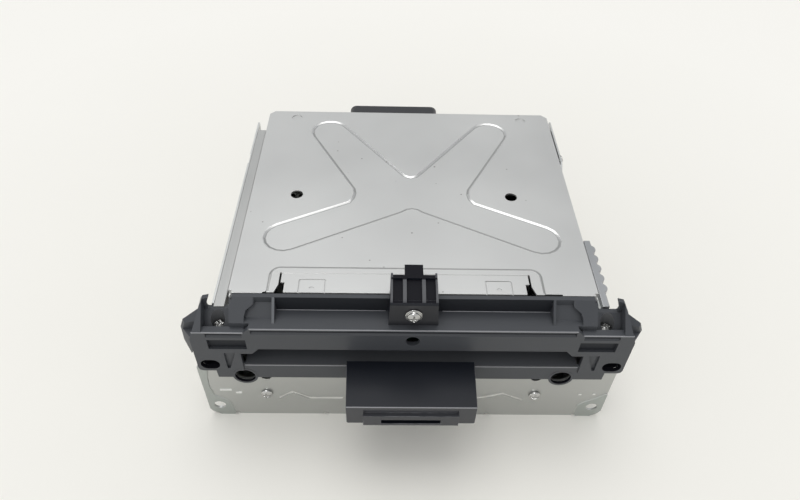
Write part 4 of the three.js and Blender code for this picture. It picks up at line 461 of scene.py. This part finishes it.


# Faces with painted light and shade as a tone of their own: node, finish, ways they face as axis, sign and
# least share, regions as the lowest and the highest corner
front, top, steepFront = (1, -1, 0.6), (2, 1, 0.6), (1, -1, 0.75)
sides = [(0, 1, 0.6), (0, -1, 0.6)]
floors = [(2, 1, 0.6), (2, -1, 0.6)]
toneWork = [
    ("front_bracket", "shadedMoulding", [front], [
        *mirrored((0.074, -0.0765, 0.058), (0.094, -0.0755, 0.065)),
        ((-0.0628, -0.0675, 0.0727), (0.0628, -0.0655, 0.082)),
        ((-0.0745, -0.0772, 0.0695), (0.0745, -0.0766, 0.0719)),
        *mirrored((0.0742, -0.0772, 0.067), (0.0995, -0.0766, 0.0695))]),
    # painted highlight on the front face of the rib at the left end of the gutter
    ("front_bracket", "ledgeMoulding", [front], [((-0.0639, -0.0779, 0.0728), (-0.0625, -0.066, 0.0812))]),
    # painted light that lifts the shade inside the ear screw wells
    ("front_bracket", "litWellMoulding", [steepFront, *sides],
        mirrored((0.0844, -0.073, 0.0649), (0.0918, -0.066, 0.073))),
    # painted light on the slot floor, which lies in the bar's shade
    ("front_bracket", "litSlotFloorMoulding", [top], [((-0.08, -0.078, 0.0455), (0.08, -0.066, 0.0465))]),
    # painted shade in the ear slots and the bores
    ("front_bracket", "deepShadeMoulding", [*sides, *floors], [
        *mirrored((0.089, -0.0778, 0.0425), (0.0985, -0.0735, 0.0502)),
        ((-0.0845, -0.0778, 0.031), (-0.0741, -0.06, 0.0415)),
        ((0.0668, -0.0778, 0.031), (0.0772, -0.06, 0.0415))]),
    # painted light on the box's front faces, which face the bright floor
    ("connector_housing", "litFrontMoulding", [front], [((-0.04, -0.11, 0.03), (0.04, -0.0985, 0.05))]),
    # painted light that lifts the shade in the recess along the box's front
    ("connector_housing", "towerRib", [front, top], [((-0.0225, -0.1024, 0.0428), (0.0215, -0.1, 0.0474))]),
    # painted shade on the tower's top faces
    ("clip_tower", "deepShadeMoulding", [top], [((-0.02, -0.08, 0.084), (0.02, -0.055, 0.092))]),
    # painted light on the tower's front faces, which face the bright floor
    ("clip_tower", "socketAndLitTowerFront", [front], [((-0.02, -0.08, 0.07), (0.02, -0.07, 0.0835))]),
    # painted light on the front and top faces of the tower's ribs
    ("clip_tower", "towerRib", [front, top], [
        ((left, -0.0778, 0.0795), (right, -0.06, 0.0912)) for left, right in (
            (-0.0118, -0.0097), (0.0087, 0.0107), (-0.0056, -0.0037), (0.0026, 0.0046))]),
    # painted shade on the plate's corner pads
    ("front_plate", "shadedPadZinc", [front], [
        ((-0.1015, -0.0765, 0.002), (-0.088, -0.0755, 0.041)),
        ((0.086, -0.0765, 0.001), (0.0995, -0.0755, 0.021))]),
    # painted highlight on the plate's pressed dashes
    ("front_plate", "highlightZinc", [front, top], [
        ((left, -0.0765, low), (right, -0.0735, high)) for left, low, right, high in (
            (-0.0945, 0.0205, -0.0878, 0.0228), (-0.087, 0.0181, -0.0831, 0.0204),
            (0.084, 0.0185, 0.0865, 0.0207), (0.091, 0.0189, 0.0935, 0.0211))]),
]


# Pressed forms of the sheet metal, whose walls are drawn out to slopes: the flat level along the axis of the
# press, the pressed level, how far that is shifted (with the sheet's under face) and the reach of a slope
pressed = {
    "top_cover": [
        {"name": "cross", "axis": 2, "flat": 0.081, "level": 0.0816, "slope": 0.0011,
         "shift": -0.0012, "under": 0.0806, "from": (-0.08, -0.0466, 0.08), "to": (0.08, 0.078, 0.09)},
        {"name": "band", "axis": 2, "flat": 0.081, "level": 0.0816, "slope": 0.001,
         "shift": 0, "from": (-0.0662, -0.064, 0.08), "to": (0.059, -0.047, 0.09)}],
    "front_plate": [
        {"name": "left pad", "axis": 1, "flat": -0.07545, "level": -0.07595, "slope": 0.0003, "highlighted": False,
         "shift": 0, "from": (-0.101, -0.08, 0.001), "to": (-0.073, -0.07, 0.0405)},
        {"name": "right pad", "axis": 1, "flat": -0.07545, "level": -0.07595, "slope": 0.0003, "highlighted": False,
         "shift": 0, "from": (0.067, -0.08, 0.001), "to": (0.0985, -0.07, 0.0405)},
        # the ridges' upward slopes carry a painted highlight
        {"name": "ridges", "axis": 1, "flat": -0.07545, "level": -0.07595, "slope": 0.0011, "highlighted": True,
         "shift": 0, "from": (-0.073, -0.08, 0.001), "to": (0.067, -0.07, 0.0405)}],
}
slopeEdge = 0.00026  # rounding of the crest and the foot of a slope
levelNear = 2e-5  # corners this near a level lie on it
wallTilt = 0.1  # a pressed wall leans less than this
cornerShare = 0.5  # least share of a wall's way at a corner, so that sharp ones don't run off
rimTurn = (0.15, 1.2)  # an edge of a slope turns between these angles
slopeTilt = (0.2, 0.996)  # a slope's normal has a share along the axis between these
highlightUp = 0.1  # ridge slopes that face up by more than this carry a painted highlight
highlightRise = (0.4, 0.75)  # painted highlight above this share of the height and painted crease shade below, towards the camera and away from it
edgeSlot, shadeSlot = 1, 2  # places of the edge finish and of the painted crease shade among a mesh's materials


def near(value, level):
    return abs(value - level) < levelNear


def within(place, low, high):
    return all(low[i] < place[i] < high[i] for i in range(3))


def shapeSlopes(shape, press):  # moves the pressed corners in, and the pressed level by its shift
    axis, flat, level = press["axis"], press["flat"], press["level"]
    shape.normal_update()
    inward = {}
    for face in shape.faces:  # walls that join the flat and the pressed level
        heights = [v.co[axis] for v in face.verts]
        spans = any(near(h, flat) for h in heights) and any(near(h, level) for h in heights)
        tall = max(heights) - min(heights) > abs(level - flat) + 2 * levelNear
        if not spans or tall or abs(face.normal[axis]) > wallTilt:
            continue
        if not all(within(v.co, press["from"], press["to"]) for v in face.verts):
            continue
        for v in face.verts:
            if near(v.co[axis], level):
                inward.setdefault(v, []).append(-face.normal.copy())
    for v, ways in inward.items():
        way = sum(ways, Vector()).normalized()
        v.co += way * press["slope"] / max(way.dot(ways[0]), cornerShare)
    print(press["name"], "slope corners:", len(inward))
    if not press["shift"]:
        return
    for v in shape.verts:
        if within(v.co, press["from"], press["to"]) and (
                near(v.co[axis], level) or near(v.co[axis], press["under"])):
            v.co[axis] += press["shift"]


def roundSlopes(shape, press, bottom):  # returns the faces of the slopes and of their rounding
    axis, flat = press["axis"], press["flat"]
    bmesh.ops.recalc_face_normals(shape, faces=shape.faces)
    rims = [
        edge for edge in shape.edges
        if len(edge.link_faces) == 2 and rimTurn[0] < edge.calc_face_angle(0) < rimTurn[1]
        and all(within(v.co, press["from"], press["to"]) for v in edge.verts)
        and any(all(near(v.co[axis], height) for v in edge.verts) for height in (flat, bottom))]
    made = bmesh.ops.bevel(
        shape, geom=rims, offset=slopeEdge, offset_type="OFFSET", segments=2, profile=0.5, affect="EDGES",
        material=-1, clamp_overlap=True)
    slopes = set(made["faces"]) | {face for edge in rims if edge.is_valid for face in edge.link_faces}
    for face in made["faces"]:
        slopes.update(other for edge in face.edges for other in edge.link_faces)
    return slopes


def slopePressed(shape, press):
    axis = press["axis"]
    shapeSlopes(shape, press)
    bottom = press["level"] + press["shift"]
    slopes = roundSlopes(shape, press, bottom)
    foot, crest = sorted((press["flat"], bottom))
    shape.normal_update()
    for face in slopes:  # the cover's get painted shade along the foot and a painted highlight along the crest
        if not slopeTilt[0] < abs(face.normal[axis]) < slopeTilt[1]:
            continue
        if axis == 1:
            # upward slopes of the plate's ridges get the edge finish as a painted highlight
            face.material_index = edgeSlot if press["highlighted"] and face.normal.z > highlightUp else 0
            continue
        rise = (face.calc_center_median()[axis] - foot) / (crest - foot)
        face.material_index = edgeSlot if rise > highlightRise[0 if face.normal.y < 0 else 1] else shadeSlot


# Moulded hollows with soft rims: the regions of the scoops, left one first
softReach = 0.0008
softRims = {"front_bracket": mirrored((0.0705, -0.0748, 0.0735), (0.0758, -0.066, 0.0812))[::-1]}


def softenRims(shape, low, high):
    rims = [
        edge for edge in shape.edges
        if len(edge.link_faces) == 2 and edge.calc_face_angle_signed(0) > sharpTurn
        and all(within(v.co, low, high) for v in edge.verts)]
    bmesh.ops.bevel(
        shape, geom=rims, offset=softReach, offset_type="OFFSET", segments=4, profile=0.5, affect="EDGES",
        material=-1, clamp_overlap=True)
    print("soft rims:", len(rims))


mergeReach = 2e-6  # corners nearer than this are one
flatTurn = math.radians(0.5)  # faces that turn less than this are one


def toneFaces(shape, node):  # returns the finishes given, in the order of their places
    tones = {}
    shape.normal_update()
    for toned, tone, ways, regions in toneWork:
        if toned != node:
            continue
        tones[tone] = len(tones) + (shadeSlot if node in pressed else edgeSlot) + 1
        for face in shape.faces:
            middle = face.calc_center_median()
            if any(face.normal[axis] * way > least for axis, way, least in ways) and any(
                    within(middle, low, high) for low, high in regions):
                face.material_index = tones[tone]
    return tones


def worked(node, finish, radius):
    source = nodes[node]
    shape = bmesh.new()
    shape.from_mesh(source.data)
    bmesh.ops.remove_doubles(shape, verts=shape.verts, dist=mergeReach)
    bmesh.ops.dissolve_limit(shape, angle_limit=flatTurn, verts=shape.verts, edges=shape.edges)
    for press in pressed.get(node, []):
        slopePressed(shape, press)
    for low, high in softRims.get(node, []):
        softenRims(shape, low, high)
    tones = toneFaces(shape, node)
    mesh = bpy.data.meshes.new(node + "Worked")
    shape.to_mesh(mesh)
    shape.free()
    mesh.shade_smooth()
    mesh.set_sharp_from_angle(angle=sharpTurn)
    item = bpy.data.objects.new(node + "Worked", mesh)
    bpy.context.scene.collection.objects.link(item)
    rounding = item.modifiers.new("edges", "BEVEL")
    rounding.width = radius
    rounding.segments = 2
    rounding.limit_method = "ANGLE"
    rounding.angle_limit = sharpTurn
    rounding.harden_normals = True
    rounding.use_clamp_overlap = True
    # rounded edges get the edge finish: rubbed wear and painted highlight
    rounding.material = edgeSlot
    flats = item.modifiers.new("flats", "WEIGHTED_NORMAL")
    flats.keep_sharp = True
    flats.weight = 90
    mesh.materials.append(materials[finish])
    mesh.materials.append(edgeMaterials[finish])
    if node in pressed:
        # the painted crease shade along the foot of the slopes
        mesh.materials.append(materials["creaseShade"])
    for tone in tones:
        mesh.materials.append(materials[tone])
    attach(item, source["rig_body"])
    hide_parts(node)


for node, (finish, radius) in edgeWork.items():
    worked(node, finish, radius)
print("worked pieces made:", len(edgeWork))


# New pieces

def newPiece(name, shape, body, node, finish, replaces=False):
    mesh = bpy.data.meshes.new(name)
    bmesh.ops.recalc_face_normals(shape, faces=shape.faces)
    shape.to_mesh(mesh)
    shape.free()
    mesh.shade_smooth()
    mesh.set_sharp_from_angle(angle=sharpTurn)
    mesh.materials.append(materials[finish])
    item = bpy.data.objects.new(name, mesh)
    bpy.context.scene.collection.objects.link(item)
    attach(item, body)
    if replaces:
        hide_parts(node)


# Closed pocket behind each slot of the ears, where the front panel hooks in, finished near black as painted
# shade
earPocket = {
    "middle": 0.0937, "halfWidth": 0.0041, "level": 0.0463, "halfHeight": 0.0034, "front": -0.07573,
    "depth": 0.0085, "round": 0.0026, "rearRound": 0.0006, "wall": 0.0005,
}


def makeEarPocket(name, side):
    pocket = earPocket
    shape = bmesh.new()
    size = (pocket["halfWidth"] * 2, pocket["depth"], pocket["halfHeight"] * 2)
    halfway = pocket["front"] + pocket["depth"] / 2
    middle = (side * pocket["middle"], halfway, pocket["level"])
    bmesh.ops.create_cube(shape, size=1, matrix=Matrix.Translation(middle) @ Matrix.Diagonal((*size, 1)))
    mouth = [face for face in shape.faces if all(v.co.y < halfway for v in face.verts)]
    bmesh.ops.delete(shape, geom=mouth, context="FACES_ONLY")
    along = [
        edge for edge in shape.edges if abs(edge.verts[0].co.y - edge.verts[1].co.y) > pocket["depth"] / 2]
    bmesh.ops.bevel(
        shape, geom=along, offset=pocket["round"], segments=5, profile=0.5, affect="EDGES", material=-1)
    rear = [edge for edge in shape.edges if all(v.co.y > halfway for v in edge.verts)]
    bmesh.ops.bevel(
        shape, geom=rear, offset=pocket["rearRound"], segments=2, profile=0.5, affect="EDGES", material=-1)
    bmesh.ops.recalc_face_normals(shape, faces=shape.faces)
    bmesh.ops.solidify(shape, geom=shape.faces, thickness=pocket["wall"])
    newPiece(name, shape, "chassis", "front_bracket", "deepShadeMoulding")


makeEarPocket("leftEarPocket", -1)
makeEarPocket("rightEarPocket", 1)
print("ear pockets made")


# Threaded rod that drives the pickup
leadThread = {
    "core": 0.00112, "crest": 0.0014, "pitch": 0.003, "foot": 0.0007, "plainEnd": 0.003, "endRound": 0.0002,
    "sink": 0.0001, "stepsPerTurn": 18, "sides": 20,
}


def makeLeadScrew():
    low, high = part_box("lead_screw")
    middle = Vector(((low[0] + high[0]) / 2, 0, (low[2] + high[2]) / 2))
    length = high[1] - low[1]
    thread = leadThread
    shape = bmesh.new()
    lying = Matrix.Translation((middle.x, low[1] + length / 2, middle.z))
    lying = lying @ Matrix.Rotation(math.pi / 2, 4, "X")
    bmesh.ops.create_cone(
        shape, segments=thread["sides"], radius1=thread["core"], radius2=thread["core"], depth=length,
        cap_ends=True, matrix=lying)
    ends = [edge for edge in shape.edges if abs(edge.verts[0].co.y - edge.verts[1].co.y) < mergeReach]
    bmesh.ops.bevel(
        shape, geom=ends, offset=thread["endRound"], segments=2, profile=0.5, affect="EDGES", material=-1)
    turnCount = (length - 2 * thread["plainEnd"]) / thread["pitch"]
    steps = round(turnCount * thread["stepsPerTurn"])
    start = low[1] + thread["plainEnd"]
    bite = thread["core"] - thread["sink"]
    corners = [
        shape.verts.new((middle.x + reach, start + shift, middle.z))
        for reach, shift in ((bite, -thread["foot"] / 2), (thread["crest"], 0), (bite, thread["foot"] / 2))]
    first = shape.faces.new(corners)
    bmesh.ops.spin(
        shape, geom=[first, *first.edges, *first.verts], cent=middle, axis=(0, 1, 0),
        angle=turnCount * math.tau, steps=steps, dvec=(0, thread["pitch"] * turnCount / steps, 0),
        use_merge=False)
    newPiece("threadedLeadScrew", shape, "screw", "lead_screw", "screwSteel", replaces=True)


makeLeadScrew()
print("lead screw made")


# Rounded lips along the front edges of the connector box, the bar, the slot's foot and the ears, and the bead
# at the foot of the gutter's rear wall on both sides of the tower, finished pale as painted highlights along
# those edges
highlightLips = {
    "roundShare": 0.4,
    "runs": [  # name, thickness, left, right, middle of the height, middle of the depth
        ("boxLip", 0.0005, -0.0299, 0.0281, 0.04915, -0.1018),
        ("barLip", 0.0006, -0.0728, 0.0728, 0.0725, -0.07759),
        ("slotFootLip", 0.0005, -0.078, 0.078, 0.0459, -0.07764),
        ("leftEarLip", 0.0006, -0.0985, -0.0757, 0.0698, -0.07759),
        ("rightEarLip", 0.0006, 0.0757, 0.0985, 0.0698, -0.07759),
        ("leftGutterBead", 0.0004, -0.0619, -0.0128, 0.07275, -0.06645),
        ("rightGutterBead", 0.0004, 0.0128, 0.0619, 0.07275, -0.06645)],
}


def makeHighlightLip(name, thick, left, right, level, depth):
    shape = bmesh.new()
    bmesh.ops.create_cube(
        shape, size=1, matrix=Matrix.Translation(((left + right) / 2, depth, level))
        @ Matrix.Diagonal((right - left, thick, thick, 1)))
    bmesh.ops.bevel(
        shape, geom=shape.edges[:], offset=thick * highlightLips["roundShare"], segments=3, profile=0.5,
        affect="EDGES", material=-1)
    newPiece(name, shape, "chassis", "front_bracket", "lipHighlightMoulding")


for run in highlightLips["runs"]:
    makeHighlightLip(*run)
print("edge lips made")


# Flange of the left wall, folded level with the wall's top edge and reaching to the cover
wallFlange = {
    "left": -0.0902, "right": -0.0854, "front": -0.0653, "rear": 0.0722, "top": 0.0734, "lip": 0.0012,
    "thick": 0.0006, "bend": 0.0004,
}


def makeWallFlange():
    flange = wallFlange
    shape = bmesh.new()
    size = (flange["right"] - flange["left"], flange["rear"] - flange["front"], 1)
    middle = ((flange["left"] + flange["right"]) / 2, (flange["front"] + flange["rear"]) / 2, flange["top"])
    bmesh.ops.create_grid(
        shape, x_segments=2, y_segments=8, size=0.5,
        matrix=Matrix.Translation(middle) @ Matrix.Diagonal((*size, 1)))
    inner = [
        edge for edge in shape.edges if all(abs(v.co.x - flange["right"]) < mergeReach for v in edge.verts)]
    lip = bmesh.ops.extrude_edge_only(shape, edges=inner)["geom"]
    drop = [part for part in lip if isinstance(part, bmesh.types.BMVert)]
    bmesh.ops.translate(shape, verts=drop, vec=(0, 0, -flange["lip"]))
    bmesh.ops.bevel(
        shape, geom=inner, offset=flange["bend"], segments=3, profile=0.5, affect="EDGES", material=-1)
    bmesh.ops.recalc_face_normals(shape, faces=shape.faces)
    bmesh.ops.solidify(shape, geom=shape.faces, thickness=flange["thick"])
    newPiece("leftWallFlange", shape, "chassis", "chassis_tub", "wallZinc")


makeWallFlange()
print("wall flange made")


# Floor, backdrop and lamps

studio = {
    # floor is the darker tone near the object and floorFar the paler one further out: painted shade around the
    # object
    "floor": (0.9, 0.882, 0.825), "floorFar": (0.955, 0.938, 0.89), "floorHalf": 3, "floorRough": 0.7,
    "fadeFrom": 0.12, "fadeTo": 0.45, "fadeNoise": 0.2, "worldStrength": 0.97,
    "sky": [  # height of the direction, colour
        (0.0, (0.96, 0.945, 0.9)), (0.3, (0.75, 0.755, 0.76)), (0.45, (0.56, 0.57, 0.585)),
        (0.8, (0.62, 0.63, 0.64)), (0.95, (1.0, 1.0, 0.99))],
    "suns": [  # name, direction it comes from, spread in degrees, strength, whether it lights matt faces
        ("keySun", (-0.1, 0.35, 1.4), 45, 0.8, True),
        ("edgeSun", (-0.3, -0.5, 1.1), 12, 0.9, False),
        ("fillSun", (-0.6, -0.8, 0.6), 70, 0.2, True)],
}


def makeFloor():
    shape = bmesh.new()
    bmesh.ops.create_grid(shape, x_segments=1, y_segments=1, size=studio["floorHalf"])
    mesh = bpy.data.meshes.new("floor")
    shape.to_mesh(mesh)
    shape.free()
    floor = bpy.data.objects.new("floor", mesh)
    bpy.context.scene.collection.objects.link(floor)
    material = bpy.data.materials.new("paleFloor")
    material.use_nodes = True
    tree = material.node_tree
    shader = tree.nodes["Principled BSDF"]
    shader.inputs["Roughness"].default_value = studio["floorRough"]
    place = addNode(tree, "ShaderNodeTexCoord")
    distance = addNode(tree, "ShaderNodeVectorMath", operation="LENGTH")
    # the floor is painted darker within fadeFrom of the object and paler past fadeTo: painted shade
    fade = addNode(tree, "ShaderNodeMapRange", {"From Min": studio["fadeFrom"], "From Max": studio["fadeTo"]})
    noise = addNode(tree, "ShaderNodeTexNoise", {"Scale": 9.0, "Detail": 3.0})
    vary = addNode(tree, "ShaderNodeMath", operation="MULTIPLY_ADD")
    vary.inputs[1].default_value = studio["fadeNoise"]
    tint = addNode(tree, "ShaderNodeMix", data_type="RGBA")
    tint.inputs["A"].default_value = opaque(studio["floor"])
    tint.inputs["B"].default_value = opaque(studio["floorFar"])
    link = tree.links.new
    link(place.outputs["Object"], distance.inputs[0])
    link(place.outputs["Object"], noise.inputs["Vector"])
    link(distance.outputs["Value"], fade.inputs["Value"])
    link(noise.outputs["Fac"], vary.inputs[0])
    link(fade.outputs["Result"], vary.inputs[2])
    link(vary.outputs[0], tint.inputs["Factor"])
    link(tint.outputs["Result"], shader.inputs["Base Color"])
    mesh.materials.append(material)


def makeWorld():  # pale at the horizon and overhead, darker between, so that edges catch the light
    world = bpy.data.worlds.new("studio")
    bpy.context.scene.world = world
    world.use_nodes = True
    tree = world.node_tree
    light = tree.nodes["Background"]
    light.inputs["Strength"].default_value = studio["worldStrength"]
    place = addNode(tree, "ShaderNodeTexCoord")
    height = addNode(tree, "ShaderNodeSeparateXYZ")
    ramp = addNode(tree, "ShaderNodeValToRGB")
    steps = ramp.color_ramp.elements
    while len(steps) < len(studio["sky"]):
        steps.new(1.0)
    for step, (level, colour) in zip(steps, studio["sky"]):
        step.position = level
        step.color = opaque(colour)
    link = tree.links.new
    link(place.outputs["Generated"], height.inputs["Vector"])
    link(height.outputs["Z"], ramp.inputs["Fac"])
    link(ramp.outputs["Color"], light.inputs["Color"])


def makeLamps():
    for name, place, spread, strength, broad in studio["suns"]:
        data = bpy.data.lights.new(name, "SUN")
        data.energy = strength
        data.angle = math.radians(spread)
        lamp = bpy.data.objects.new(name, data)
        bpy.context.scene.collection.objects.link(lamp)
        lamp.location = place
        lamp.visible_diffuse = broad
        lamp.rotation_mode = "QUATERNION"
        lamp.rotation_quaternion = Vector(place).to_track_quat("Z", "Y")


makeFloor()
makeWorld()
makeLamps()
bpy.context.scene.view_settings.view_transform = "Standard"
print("studio made")
